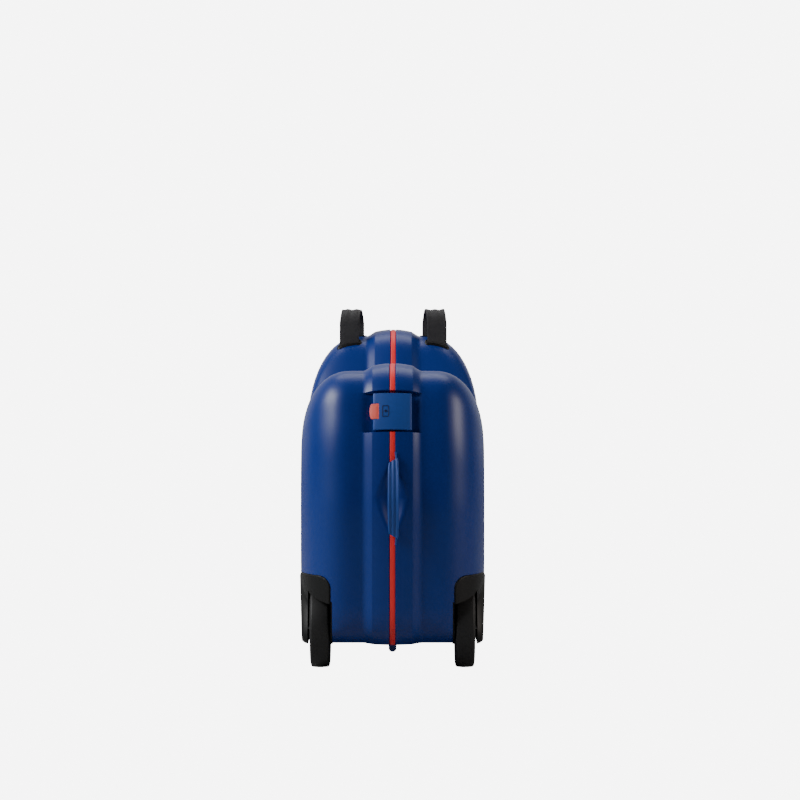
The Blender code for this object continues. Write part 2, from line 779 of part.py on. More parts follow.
def build_leaf(side):
    """Hinge leaf: knuckles on the axis, a web up the seam and a flange on the
    shell's inner floor."""
    floor = FLOOR_HEIGHT + WALL + GAP
    ends = HINGE_HALF_LENGTH
    inner, outer = LEAF_FROM_MIDDLE, LEAF_FROM_MIDDLE + LEAF_THICKNESS
    web_low = HINGE_HEIGHT + BARREL_RADIUS + KNUCKLE_GAP
    xs = sorted((side * inner, side * LEAF_REACH))
    leaf = box((xs[0], -ends, floor), (xs[1], ends, floor + LEAF_THICKNESS))
    xs = sorted((side * inner, side * outer))
    unite(leaf, box((xs[0], -ends, web_low), (xs[1], ends, floor + LEAF_THICKNESS / 2)))
    pitch = 2 * ends / KNUCKLE_COUNT
    for k in range(KNUCKLE_COUNT):
        if (k % 2 == 0) != (side > 0):
            continue
        low = -ends + k * pitch + (KNUCKLE_GAP / 2 if k else 0)
        high = -ends + (k + 1) * pitch - (KNUCKLE_GAP / 2 if k < KNUCKLE_COUNT - 1 else 0)
        barrel = prism(arc((0, HINGE_HEIGHT), BARREL_RADIUS, 0, 337.5, 16), "Y", low, high)
        web_base = HINGE_HEIGHT + BARREL_RADIUS / 2
        stub = box((xs[0], low, web_base), (xs[1], high, web_low + MM))
        bore = prism(arc((0, HINGE_HEIGHT), pin_bore(HINGE_PIN_RADIUS, 12), 0, 330, 12),
                     "Y", low - MM, high + MM)
        unite(barrel, stub)
        cut(barrel, bore)
        unite(leaf, barrel)
    return leaf


def pin_bore(radius, sides):
    """Corner radius of a many-sided bore whose flats clear a turning pin."""
    return (radius + PIN_CLEARANCE) / math.cos(math.pi / sides)


def build_hinge_pin():
    """Wire through all the knuckles."""
    outline = arc((0, HINGE_HEIGHT), HINGE_PIN_RADIUS, 0, 330, 12)
    return prism(outline, "Y", -HINGE_HALF_LENGTH - MM, HINGE_HALF_LENGTH + MM)


def guard_block(side, spread):
    """Block over a rear corner, grown by spread: level on top, round in front
    of the wheel, with its top inner corner rounded."""
    radius = GUARD_RADIUS + spread
    top = REAR_AXLE_HEIGHT + radius
    outline = arc((REAR_AXLE_Y, REAR_AXLE_HEIGHT), radius, 0, 90, 14)
    outline += [(-BEYOND_END, top), (-BEYOND_END, -MM), (REAR_AXLE_Y + radius, -MM)]
    inner, corner = GUARD_INNER_X - spread, GUARD_CORNER + spread
    xs = sorted((side * (inner - MM), side * BEYOND_SIDE))
    block = prism(outline, "X", xs[0], xs[1])
    face = arc((inner + corner, top - corner), corner, 90, 180, 9)
    face += [(inner, -2 * MM), (BEYOND_SIDE + MM, -2 * MM), (BEYOND_SIDE + MM, top)]
    face = [(side * x, z) for x, z in face]
    return combine(block, prism(face, "Y", -BEYOND_END - MM, 0), "INTERSECT")


def well_block(side, spread):
    """Space around a rear wheel, grown by spread: an arch over the wheel, a
    visor that falls to the rear, and open to the rear and below."""
    radius = WELL_RADIUS + spread
    outline = arc((REAR_AXLE_Y, REAR_AXLE_HEIGHT), radius, 0, VISOR_ANGLE, 14)
    visor = (REAR_AXLE_Y - VISOR_REACH, REAR_AXLE_HEIGHT + VISOR_RISE + spread)
    end = visor[1] - VISOR_SLOPE * (BEYOND_END + visor[0])
    outline += [visor, (-BEYOND_END, end), (-BEYOND_END, -2 * MM), (REAR_AXLE_Y + radius, -2 * MM)]
    outer = BEYOND_SIDE if spread else WELL_OUTER_X
    xs = sorted((side * (WELL_INNER_X - spread), side * outer))
    return prism(outline, "X", xs[0], xs[1])


def build_rear_housing(surface, side):
    """Black wheel housing: a proud skin over the corner, walls around the
    wheel and a bore for the axle."""
    skin = half_body("skin", surface, GUARD_PROUD, side)
    cut(skin, half_body("core", surface, GUARD_PROUD - WALL, side))
    combine(skin, guard_block(side, 0), "INTERSECT")
    walls = half_body("walls", surface, GUARD_PROUD, side)
    combine(walls, well_block(side, WELL_WALL), "INTERSECT")
    unite(skin, walls)
    cut(skin, well_block(side, 0))
    reach = axle_reach(surface)
    bore_radius = pin_bore(REAR_AXLE_RADIUS, 20)
    bore = sorted((side * (WELL_INNER_X - 2 * WELL_WALL), side * (reach + GAP)))
    cut(skin, rod(bore_radius, bore[0], bore[1], 20, REAR_AXLE_Y, REAR_AXLE_HEIGHT))
    pocket = sorted((side * reach, side * BEYOND_SIDE))
    cut(skin, rod(CAP_RADIUS + GAP, pocket[0], pocket[1], 24, REAR_AXLE_Y, REAR_AXLE_HEIGHT))
    return skin


def axle_reach(surface):
    """Half width at which a rear axle ends, behind its flush cap."""
    tree = grid_tree(surface.offset(GUARD_PROUD))
    start = Vector((BEYOND_SIDE, REAR_AXLE_Y, REAR_AXLE_HEIGHT - CAP_RADIUS))
    hit = tree.ray_cast(start, Vector((-1, 0, 0)))
    return hit[0].x - CAP_THICKNESS - 2 * GAP


def grid_tree(grid):
    """Search tree over a surface grid on the +X side."""
    rows, columns = grid.shape[:2]
    return BVHTree.FromPolygons([tuple(p) for p in grid.reshape(-1, 3)], grid_faces(rows, columns))


def build_axle(surface, side):
    """Steel rear axle held in the housing's two walls."""
    xs = sorted((side * (WELL_INNER_X - WELL_WALL - MM), side * axle_reach(surface)))
    return rod(REAR_AXLE_RADIUS, xs[0], xs[1], 20, REAR_AXLE_Y, REAR_AXLE_HEIGHT)


def build_axle_cap(surface, side):
    """Flush cap over the axle's end."""
    start = axle_reach(surface) + GAP
    xs = sorted((side * start, side * (start + CAP_THICKNESS)))
    return rod(CAP_RADIUS, xs[0], xs[1], 24, REAR_AXLE_Y, REAR_AXLE_HEIGHT)


def build_tyre(radius, width, thickness, segments, place):
    """Tyre ring with eased shoulders."""
    inner, side = radius - thickness, width / 2
    ease = TYRE_EASE * width
    shoulder, crown = radius - 1.6 * ease, radius - 0.3 * ease
    profile = [(inner, -side), (shoulder, -side), (crown, -side + ease), (radius, 0),
               (crown, side - ease), (shoulder, side), (inner, side)]
    return turned(profile, segments, place)


def build_hub(radius, width, bore, boss, segments, place):
    """Wheel hub: rim, web and boss in one turned piece."""
    rim, web = radius - HUB_RIM, HUB_WEB_HALF
    side, edge = width / 2, width / 2 - HUB_RIM_SET_BACK
    profile = [(bore, -side), (boss, -side), (boss + MM, -web), (rim, -web), (rim, -edge), (radius, -edge),
               (radius, edge), (rim, edge), (rim, web), (boss + MM, web), (boss, side), (bore, side)]
    return turned(profile, segments, place)


def build_caster_hub(place):
    """Plain hub bush inside a caster's tyre."""
    bore = pin_bore(CASTER_AXLE_RADIUS, 16)
    rim = CASTER_RADIUS - CASTER_TYRE_THICKNESS - GAP / 2
    half = CASTER_WIDTH / 2
    return turned([(bore, -half), (rim, -half), (rim, half), (bore, half)], 16, place)


def cup_top():
    """Height of the top of a caster cup's ceiling."""
    return crown_top() + CUP_HEADROOM + CUP_CEILING


def crown_top():
    """Height of the top of a caster fork's crown."""
    return 2 * CASTER_RADIUS + CROWN_CLEARANCE + CROWN_THICKNESS


def build_cup(surface, side):
    """Socket for a front caster: a cup with a bored boss, trimmed to the
    case's outer form."""
    place = Matrix.Translation((side * CASTER_X, CASTER_Y, 0))
    top = cup_top()
    inner = CUP_RADIUS - CUP_WALL
    bore = pin_bore(STEM_RADIUS, 20)
    cup = turned([(inner, CUP_RIM), (CUP_RADIUS, CUP_RIM), (CUP_RADIUS, top), (BOSS_RADIUS, top),
                  (BOSS_RADIUS, top + BOSS_HEIGHT), (bore, top + BOSS_HEIGHT),
                  (bore, top - CUP_CEILING), (inner, top - CUP_CEILING)], 40, place)
    return combine(cup, half_body("trim", surface, GUARD_PROUD, side), "INTERSECT")


def build_fork(side):
    """Caster fork: stem, crown and two legs to the wheel's axle."""
    place = Matrix.Translation((side * CASTER_X, CASTER_Y, 0))
    crown_low = crown_top() - CROWN_THICKNESS
    stem_top = cup_top() + BOSS_HEIGHT + GAP + CLIP_THICKNESS + 2 * MM
    fork = turned([(0, crown_low), (CROWN_RADIUS, crown_low), (CROWN_RADIUS, crown_top()),
                   (STEM_RADIUS, crown_top()), (STEM_RADIUS, stem_top), (0, stem_top)], 20, place)
    wheel_y = CASTER_Y - CASTER_TRAIL
    leg_radius = 3 * CASTER_AXLE_RADIUS
    outline = arc((wheel_y, CASTER_RADIUS), leg_radius, 150, 390, 9)
    outline += [(CASTER_Y + 4 * MM, crown_low + MM), (wheel_y - leg_radius, crown_low + MM)]
    for hand in (-1, 1):
        x = side * CASTER_X
        near = x + hand * (CASTER_WIDTH / 2 + 2 * GAP)
        far = near + hand * FORK_LEG
        unite(fork, prism(outline, "X", min(near, far), max(near, far)))
    reach = CASTER_WIDTH / 2 + FORK_LEG + MM
    bore = rod(CASTER_AXLE_RADIUS + GAP / 2, side * CASTER_X - reach, side * CASTER_X + reach, 16,
               wheel_y, CASTER_RADIUS)
    return cut(fork, bore)


def build_caster_axle(side):
    """Rivet through the fork legs."""
    reach = CASTER_WIDTH / 2 + FORK_LEG + 2 * GAP
    x = side * CASTER_X
    return rod(CASTER_AXLE_RADIUS, x - reach, x + reach, 16, CASTER_Y - CASTER_TRAIL, CASTER_RADIUS)


def build_clip(side):
    """Spring clip on the stem above the boss."""
    low = cup_top() + BOSS_HEIGHT + GAP
    place = Matrix.Translation((side * CASTER_X, CASTER_Y, 0))
    inner = STEM_RADIUS + GAP / 2
    return turned([(inner, low), (BOSS_RADIUS, low), (BOSS_RADIUS, low + CLIP_THICKNESS),
                   (inner, low + CLIP_THICKNESS)], 16, place)


def plate_top(x):
    """Height of the latch plate's outer face, which carries on the rib's arch."""
    return RIB_HEIGHT - RIB_ARCH * (x / RIB_CREASE) ** 2


def latch_pin_x():
    """Place of the latch's hinge pin across the case."""
    return PLATE_WIDTH / 2 - LATCH_PIN_INSET


def latch_half_height():
    """Half of the latch notch's height along the face."""
    return (LATCH_HIGH - LATCH_LOW) / 2 * 1.012


def build_latch_base(frame):
    """Base of the latch on the right shell, with two lugs for the pin."""
    half = latch_half_height() - MM
    pin_x = latch_pin_x()
    low, high = LATCH_FLOOR + GAP, LATCH_BASE_TOP
    base = box((RIM_GAP + MM, -half, low), (pin_x - 2.4 * MM, half, high), frame.place)
    outline = [(pin_x - LATCH_LUG, low + GAP), (pin_x - 2.5 * MM, low + GAP)]
    outline += arc((pin_x, LATCH_PIN_RISE), LATCH_BARREL, -60, 120, 7)
    outline += [(pin_x - LATCH_LUG, high + 2 * GAP)]
    for hand in (-1, 1):
        ends = sorted((hand * (LATCH_KNUCKLE / 2 + GAP), hand * (LATCH_KNUCKLE / 2 + LATCH_LUG)))
        unite(base, prism_v(outline, ends[0], ends[1], frame))
    return cut(base, latch_rod(frame, pin_bore(LATCH_PIN_RADIUS, 10), half))


def prism_v(outline, low, high, frame):
    """Extrudes an outline of (x, n) along the end face's v axis."""
    return prism(outline, "Y", low, high, frame.place)


def latch_rod(frame, radius, half):
    """Round bar on the latch's hinge axis."""
    return prism_v(arc((latch_pin_x(), LATCH_PIN_RISE), radius, 0, 324, 10), -half, half, frame)


def build_keeper(frame):
    """Keeper plate on the left shell with a low catch for the button."""
    half = latch_half_height() - MM
    low = LATCH_FLOOR + GAP
    edge = -PLATE_WIDTH / 2
    keeper = box((edge, -half, low), (-RIM_GAP - MM, half, KEEPER_TOP), frame.place)
    catch = box((edge + MM, -CATCH_HALF_LENGTH, 0), (edge + 4 * MM, CATCH_HALF_LENGTH, CATCH_TOP),
                frame.place)
    return unite(keeper, catch)


def build_flap(frame):
    """Latch plate: an arched plate with skirts, a barrel for the pin and a
    channel for the button."""
    half_width = PLATE_WIDTH / 2
    top = latch_half_height() - PLATE_GAP_TOP
    bottom = -latch_half_height() + PLATE_GAP_BOTTOM
    xs = np.linspace(-half_width, half_width, 9)
    outline = [(x, plate_top(x)) for x in xs]
    outline += [(x, plate_top(x) - PLATE_THICKNESS) for x in xs[::-1]]
    flap = prism_v(outline, bottom, top, frame)
    skirt, under = FLAP_SKIRT, FLAP_UNDERSIDE
    left = -half_width + STEP
    reach = latch_pin_x() - 4.4 * MM
    deep = [(x, plate_top(x) - PLATE_THICKNESS / 2) for x in np.linspace(left, reach, 7)]
    deep += [(reach, under), (left, under)]
    unite(flap, prism_v(deep, bottom + STEP, bottom + skirt, frame))
    unite(flap, prism_v(deep, top - skirt, top - STEP, frame))
    button_half = BUTTON_HEIGHT / 2
    rail = button_half + BUTTON_RAIL
    channel_in = -half_width + BUTTON_LENGTH - BUTTON_OVERHANG + BUTTON_TRAVEL + GAP
    for hand in (-1, 1):
        wall = sorted((hand * (rail + GAP), hand * (rail + 2 * MM)))
        outline = [(left + STEP, under + STEP), (channel_in, under + STEP), (channel_in, 5.2 * MM),
                   (left + STEP, 4.6 * MM)]
        ledge = sorted((hand * (button_half + GAP), hand * (rail + MM)))
        channel = box((left + 2 * STEP, ledge[0], under + 2 * STEP),
                      (channel_in - STEP, ledge[1], BUTTON_FLOOR - 0.4 * MM), frame.place)
        unite(channel, prism_v(outline, wall[0], wall[1], frame))
        unite(flap, channel)
    stop_x = spring_stop()
    stop_top = plate_top(stop_x) - PLATE_THICKNESS / 2
    unite(flap, box((stop_x, -3 * MM, under + STEP), (stop_x + 1.2 * MM, 3 * MM, stop_top), frame.place))
    barrel_half = LATCH_KNUCKLE / 2 - GAP
    pin_x = latch_pin_x()
    ring = arc((pin_x, LATCH_PIN_RISE), LATCH_BARREL, 0, 330, 12)
    barrel = prism_v(ring, -barrel_half, barrel_half, frame)
    web = [(pin_x - MM, LATCH_PIN_RISE + MM), (pin_x + MM, LATCH_PIN_RISE + MM),
           (pin_x + MM, plate_top(pin_x) - MM), (pin_x - MM, plate_top(pin_x) - MM)]
    unite(barrel, prism_v(web, STEP - barrel_half, barrel_half - STEP, frame))
    unite(flap, barrel)
    cut(flap, latch_rod(frame, pin_bore(LATCH_PIN_RADIUS, 10), latch_half_height()))
    slot_in = -half_width + BUTTON_LENGTH - BUTTON_OVERHANG + BUTTON_TRAVEL
    slot = box((-half_width - MM, -button_half - GAP, BUTTON_FLOOR - STEP),
               (slot_in, button_half + GAP, 12 * MM), frame.place)
    return cut(flap, slot)


def spring_stop():
    """Place of the wall that the button's spring pushes against."""
    return -PLATE_WIDTH / 2 + BUTTON_LENGTH - BUTTON_OVERHANG + SPRING_LENGTH


def build_button(frame):
    """Release button with side rails that run in the flap's channel."""
    outer = -PLATE_WIDTH / 2 - BUTTON_OVERHANG
    inner = outer + BUTTON_LENGTH
    half = BUTTON_HEIGHT / 2
    xs = np.linspace(outer, inner, 4)
    face = [(x, plate_top(x) + 0.5 * MM) for x in xs]
    low = BUTTON_FLOOR
    button = prism_v(face + [(inner, low), (outer, low)], -half, half, frame)
    round_off = BUTTON_ROUNDING
    for hand in (-1, 1):
        corner = [(outer - MM, hand * (half + MM)), (outer + round_off, hand * (half + MM))]
        corner += [(outer + round_off * (1 - math.sin(a)), hand * (half - round_off * (1 - math.cos(a))))
                   for a in np.radians([0, 30, 60, 90])]
        corner += [(outer - MM, hand * (half - round_off))]
        cut(button, prism(corner, "Z", 0, 14 * MM, frame.place))
    rail = half + BUTTON_RAIL
    flange = box((inner - 3 * MM, -rail, low), (inner, rail, low + 1.3 * MM), frame.place)
    return unite(button, flange)


def build_spring(frame):
    """Coil spring between the button and the flap's stop wall."""
    start = -PLATE_WIDTH / 2 + BUTTON_LENGTH - BUTTON_OVERHANG + GAP
    end = spring_stop() - GAP
    steps = 8 * SPRING_TURNS
    ring = 5
    sections = []
    for k in range(steps + 1):
        turn = 2 * math.pi * k / 8
        x = start + SPRING_WIRE + (end - start - 2 * SPRING_WIRE) * k / steps
        section = []
        for m in range(ring):
            angle = 2 * math.pi * m / ring
            radius = SPRING_RADIUS + SPRING_WIRE * math.cos(angle)
            point = (x + SPRING_WIRE * math.sin(angle), radius * math.cos(turn),
                     SPRING_HEIGHT + radius * math.sin(turn))
            section.append(tuple(frame.place @ Vector(point)))
        sections.append(section)
    return swept(sections)


def tongue(frame, v, spread):
    """Tongue of a grab handle through the right shell's wall, with a hook."""
    shell_inside = RIB_HEIGHT - WALL
    low = shell_inside - 2 * MM - GAP
    near = RIM_GAP + GAP - spread
    far = HANDLE_RIGHT - 0.2 * MM + spread
    ends = (v - TONGUE_LENGTH / 2 - spread, v + TONGUE_LENGTH / 2 + spread)
    bar = box((near, ends[0], low - spread), (far, ends[1], RIB_HEIGHT + 2 * MM), frame.place)
    if spread:
        hook_low = low - spread
        hook = box((near, ends[0], hook_low - 8 * MM), (far + 2.5 * MM, ends[1], shell_inside - GAP * 0.5),
                   frame.place)
        return unite(bar, hook)
    hook = box((near, ends[0], low), (far + 2 * MM, ends[1], shell_inside - GAP), frame.place)
    return unite(bar, hook)


def build_handle(frame):
    """Grab handle: a bow over the finger scoop and a fin along the seam."""
    def top(v):
        return RIB_HEIGHT + MM + HANDLE_RISE * (1 - (v / HANDLE_HALF_HEIGHT) ** 2)
    seat = RIB_HEIGHT + GAP
    outer = [(v, top(v)) for v in np.linspace(-HANDLE_BODY_HALF_HEIGHT, HANDLE_BODY_HALF_HEIGHT, 13)]
    hollow = HANDLE_BODY_HALF_HEIGHT - 10 * MM
    inner = []
    for v in np.linspace(hollow, -hollow, 9):
        bow = math.sqrt(max(0, 1 - (v / hollow) ** 2))
        inner.append((v, seat + (top(0) - HANDLE_THICKNESS - seat) * bow))
    outline = outer + [(HANDLE_BODY_HALF_HEIGHT, seat)] + inner + [(-HANDLE_BODY_HALF_HEIGHT, seat)]
    handle = prism(outline, "X", HANDLE_LEFT, HANDLE_RIGHT, frame.place)
    fin_low = RIM_GAP + GAP
    ends = [(v, top(v) - 1.2 * MM) for v in np.linspace(-HANDLE_HALF_HEIGHT, HANDLE_HALF_HEIGHT, 15)]
    ends = [(v, max(n, seat + 0.5 * MM)) for v, n in ends]
    ends += [(HANDLE_HALF_HEIGHT, seat), (-HANDLE_HALF_HEIGHT, seat)]
    fin = prism(ends, "X", fin_low, fin_low + HANDLE_FIN, frame.place)
    middle = hollow + 2 * MM
    cut(fin, box((-BEYOND_SIDE, -middle, -BEYOND_SIDE), (BEYOND_SIDE, middle, BEYOND_SIDE), frame.place))
    return unite(handle, fin, tongue(frame, TONGUE_PLACE, 0), tongue(frame, -TONGUE_PLACE, 0))


def webbing_legs():
    """Middle of each leg of a webbing loop: x on the +X side, and y."""
    return ((WEB_X + WEB_TWIST, WEB_Y - WEB_SPAN / 2), (WEB_X - WEB_TWIST, WEB_Y + WEB_SPAN / 2))


def webbing_slots(side):
    """Cutters for the slots that a loop's legs pass through."""
    tools = []
    for x, y in webbing_legs():
        half = WEB_WIDTH / 2 + 2 * GAP
        thick = WEB_THICKNESS / 2 + 2 * GAP
        tools.append(box((side * x - half, y - thick, WEB_TOP - 75 * MM),
                         (side * x + half, y + thick, WEB_TOP)))
    return tools


def crown_height(surface, x, y, distance=0):
    """Height of the outer surface above a point of the front hump."""
    tree = grid_tree(surface.outer() + surface.normals * distance)
    return tree.ray_cast(Vector((x, y, ABOVE)), Vector((0, 0, -1)))[0].z


def build_webbing(surface, side):
    """Webbing loop: one strap up, over and down through two slots."""
    (x0, y0), (x1, y1) = webbing_legs()
    radius = WEB_SPAN / 2
    low = [crown_height(surface, x, y) - WEB_DEPTH for x, y in ((x0, y0), (x1, y1))]
    bend = WEB_TOP - WEB_THICKNESS / 2 - radius
    path = [(x0, y0, low[0], 0.0)]
    for k in range(9):
        t = k / 8
        angle = math.pi * t
        y, z = WEB_Y - radius * math.cos(angle), bend + radius * math.sin(angle)
        path.append((x0 + (x1 - x0) * t, y, z, angle))
    path.append((x1, y1, low[1], math.pi))
    sections = []
    for x, y, z, angle in path:
        out = Vector((0, -math.cos(angle), math.sin(angle))) * WEB_THICKNESS / 2
        across = Vector((WEB_WIDTH / 2, 0, 0))
        middle = Vector((x, y, z))
        corners = [-across + out, across + out, across - out, -across - out]
        sections.append([(side * (middle + c).x, (middle + c).y, (middle + c).z) for c in corners])
    return swept(sections)


def build_bezel(surface, side):
    """Thin moulded plate on the hump around both slots."""
    tree = grid_tree(surface.outer())
    half_x = WEB_WIDTH / 2 + WEB_TWIST + BEZEL_MARGIN - MM
    half_y = WEB_SPAN / 2 + WEB_THICKNESS / 2 + BEZEL_MARGIN
    xs = np.linspace(WEB_X - half_x, WEB_X + half_x, 9)
    ys = np.linspace(WEB_Y - half_y, WEB_Y + half_y, 14)
    low, high = [], []
    for x in xs:
        for y in ys:
            point, normal, _, _ = tree.ray_cast(Vector((x, y, ABOVE)), Vector((0, 0, -1)))
            normal = normal if normal.z > 0 else -normal
            low.append(point + normal * BEZEL_SEAT)
            high.append(point + normal * (BEZEL_SEAT + BEZEL_THICKNESS))
    rows, columns = len(xs), len(ys)
    total = rows * columns
    faces = []
    for r in range(rows - 1):
        for c in range(columns - 1):
            a = r * columns + c
            quad = [a, a + 1, a + columns + 1, a + columns]
            faces += [quad, [total + i for i in reversed(quad)]]
    edge = [c for c in range(columns)] + [r * columns + columns - 1 for r in range(1, rows)]
    edge += [(rows - 1) * columns + c for c in reversed(range(columns - 1))]
    edge += [r * columns for r in reversed(range(1, rows - 1))]
    for a, b in zip(edge, edge[1:] + edge[:1]):
        faces.append([a, b, total + b, total + a])
    points = [(side * p.x, p.y, p.z) for p in low + high]
    bezel = mesh_object("bezel", points, faces)
    return cut(bezel, *webbing_slots(side))


def build_webbing_anchor(surface, side):
    """Block inside the hump that the loop's legs are stitched to."""
    tree = grid_tree(surface.inner())
    half_x = WEB_WIDTH / 2 - WEB_TWIST
    near = WEB_Y - WEB_SPAN / 2 + WEB_THICKNESS / 2 + GAP
    far = WEB_Y + WEB_SPAN / 2 - WEB_THICKNESS / 2 - GAP
    heights = [tree.ray_cast(Vector((x, y, ABOVE)), Vector((0, 0, -1)))[0].z
               for x in (WEB_X - half_x, WEB_X + half_x) for y in (near, far)]
    top = min(heights) - GAP
    xs = sorted((side * (WEB_X - half_x), side * (WEB_X + half_x)))
    return box((xs[0], near, top - 6 * MM), (xs[1], far, top))


def build_straps(side_panel):
    """Packing strap, its buckle and two anchors on the right side panel."""
    back = side_panel - GAP
    front = back - STRAP_THICKNESS
    half = STRAP_WIDTH / 2
    strap = box((front, -STRAP_HALF_LENGTH, STRAP_HEIGHT - half),
                (back, STRAP_HALF_LENGTH, STRAP_HEIGHT + half))
    buckle_back = front - GAP
    buckle = box((buckle_back - BUCKLE_THICKNESS, -BUCKLE_LENGTH / 2, STRAP_HEIGHT - BUCKLE_WIDTH / 2),
                 (buckle_back, BUCKLE_LENGTH / 2, STRAP_HEIGHT + BUCKLE_WIDTH / 2))
    anchors = []
    for hand in (-1, 1):
        ys = sorted((hand * (STRAP_HALF_LENGTH - ANCHOR_LENGTH / 2),
                     hand * (STRAP_HALF_LENGTH + ANCHOR_LENGTH)))
        block = box((front - 3 * MM, ys[0], STRAP_HEIGHT - half - 4 * MM),
                    (back, ys[1], STRAP_HEIGHT + half + 4 * MM))
        pocket = sorted((hand * (STRAP_HALF_LENGTH - ANCHOR_LENGTH), hand * (STRAP_HALF_LENGTH + GAP)))
        cut(block, box((front - GAP, pocket[0], STRAP_HEIGHT - half - GAP),
                       (back + MM, pocket[1], STRAP_HEIGHT + half + GAP)))
        anchors.append(block)
    return strap, buckle, anchors


def build_pocket(side_panel):
    """Flat pocket on the left side panel."""
    half_y, half_z = POCKET_LENGTH / 2, POCKET_HEIGHT / 2
    radius = 12 * MM
    outline = []
    for corner, start in (((1, 1), 0), ((-1, 1), 90), ((-1, -1), 180), ((1, -1), 270)):
        centre = (corner[0] * (half_y - radius), POCKET_CENTRE + corner[1] * (half_z - radius))
        outline += arc(centre, radius, start, start + 90, 4)
    return prism(outline, "X", -side_panel + GAP, -side_panel + GAP + POCKET_THICKNESS)


def build_latches(profile, materials, right, left):
    """Both latches with their moving flaps and buttons."""
    for front, (low, high) in zip((False, True), latch_spans(profile)):
        end = "front" if front else "rear"
        frame = EndFrame(profile, (low + high) / 2, front)
        finish(build_latch_base(frame), "latch_base_" + end, materials["blue"], right)
        pin = latch_rod(frame, LATCH_PIN_RADIUS, LATCH_KNUCKLE / 2 + LATCH_LUG)
        finish(pin, "latch_pin_" + end, materials["steel"], right)
        finish(build_keeper(frame), "latch_keeper_" + end, materials["blue"], left)
        pivot = frame.world(latch_pin_x(), 0, LATCH_PIN_RISE)
        finish(build_flap(frame), "latch_flap_" + end, materials["blue"], None, pivot)
        centre = frame.world(-PLATE_WIDTH / 2, 0, RIB_HEIGHT / 2)
        finish(build_button(frame), "latch_button_" + end, materials["coral"], None, centre)
        finish(build_spring(frame), "button_spring_" + end, materials["steel"], None, centre)


def build_running_gear(surface, materials, right, left):
    """Rear wheels with their housings, and the front casters."""
    guards = GuardSurface(surface.profile)
    for side, hand, half in ((1, "right", right), (-1, "left", left)):
        finish(build_rear_housing(guards, side), "rear_housing_" + hand, materials["black"], half)
        finish(build_axle(guards, side), "rear_axle_" + hand, materials["steel"], half)
        finish(build_axle_cap(guards, side), "axle_cap_" + hand, materials["black"], half)
        centre = (side * WHEEL_TRACK, REAR_AXLE_Y, REAR_AXLE_HEIGHT)
        hub_radius = WHEEL_RADIUS - TYRE_THICKNESS
        tyre = build_tyre(WHEEL_RADIUS, WHEEL_WIDTH, TYRE_THICKNESS, 40, along_x(*centre))
        finish(tyre, "rear_tyre_" + hand, materials["rubber"], None, centre)
        hub = build_hub(hub_radius - GAP / 2, WHEEL_WIDTH + 2 * MM, pin_bore(REAR_AXLE_RADIUS, 24),
                        HUB_BOSS_RADIUS, 24, along_x(*centre))
        finish(hub, "rear_hub_" + hand, materials["black"], None, centre)
        swivel = joint_empty("caster_swivel_" + hand, (side * CASTER_X, CASTER_Y, 0))
        finish(build_cup(surface, side), "caster_socket_" + hand, materials["black"], half)
        finish(build_fork(side), "caster_fork_" + hand, materials["black"], swivel)
        finish(build_clip(side), "caster_clip_" + hand, materials["steel"], swivel)
        finish(build_caster_axle(side), "caster_axle_" + hand, materials["steel"], swivel)
        hub_centre = (side * CASTER_X, CASTER_Y - CASTER_TRAIL, CASTER_RADIUS)
        place = along_x(*hub_centre)
        tyre = build_tyre(CASTER_RADIUS, CASTER_WIDTH, CASTER_TYRE_THICKNESS, 28, place)
        finish(tyre, "caster_tyre_" + hand, materials["rubber"], None, hub_centre)
        finish(build_caster_hub(place), "caster_hub_" + hand, materials["black"], None, hub_centre)


def build_handles_and_loops(surface, handles, materials, right, left):
    """Grab handles on both ends and the webbing loops on the front hump."""
    for end, frame in zip(("rear", "front"), handles):
        finish(build_handle(frame), "grab_handle_" + end, materials["blue"], right)
    for side, hand, half in ((1, "right", right), (-1, "left", left)):
        finish(build_webbing(surface, side), "webbing_handle_" + hand, materials["webbing"], half)
        finish(build_bezel(surface, side), "webbing_bezel_" + hand, materials["black"], half)
        finish(build_webbing_anchor(surface, side), "webbing_anchor_" + hand, materials["black"], half)


def build_interior(materials, right, left):
    """Strap set in the right half and pocket in the left half."""
    panel = CASE_WIDTH / 2 - WALL
    strap, buckle, anchors = build_straps(panel)
    finish(strap, "packing_strap", materials["webbing"], right)
    finish(buckle, "strap_buckle", materials["black"], right)
    for end, block in zip(("rear", "front"), anchors):
        finish(block, "strap_anchor_" + end, materials["black"], right)
    finish(build_pocket(panel), "side_pocket", materials["mesh"], left)


def main():
    """Clears the scene and builds the case."""
    for old in list(bpy.data.objects):
        bpy.data.objects.remove(old)
    materials = make_materials()
    profile = Profile()
    surface = ShellSurface(profile)
    handles = [EndFrame(profile, profile.reach_at_height(HANDLE_CENTRE, front), front)
               for front in (False, True)]
    right = joint_empty("right_half", (0, 0, 0))
    left = joint_empty("left_half_hinge", (0, 0, HINGE_HEIGHT))
    finish(build_shell(surface, 1, handles), "right_shell", materials["blue"], right)
    finish(build_shell(surface, -1, handles), "left_shell", materials["blue"], left)
    finish(build_band(profile, surface, handles), "seal_band", materials["coral"], right)
    finish(build_leaf(1), "hinge_leaf_right", materials["blue"], right)
    finish(build_leaf(-1), "hinge_leaf_left", materials["blue"], left)
    finish(build_hinge_pin(), "hinge_pin", materials["steel"], right)
    build_running_gear(surface, materials, right, left)
    build_latches(profile, materials, right, left)
    build_handles_and_loops(surface, handles, materials, right, left)
    build_interior(materials, right, left)


if __name__ == "__main__":
    main()
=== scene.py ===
"""Looks of a child's ride-on suitcase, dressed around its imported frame.

X is the width, Y the length with the rear end at -Y, and Z is up from the
ground. Every size is in metres.
"""

from __future__ import annotations

import json
import logging
import math
from dataclasses import dataclass, field
from enum import Enum

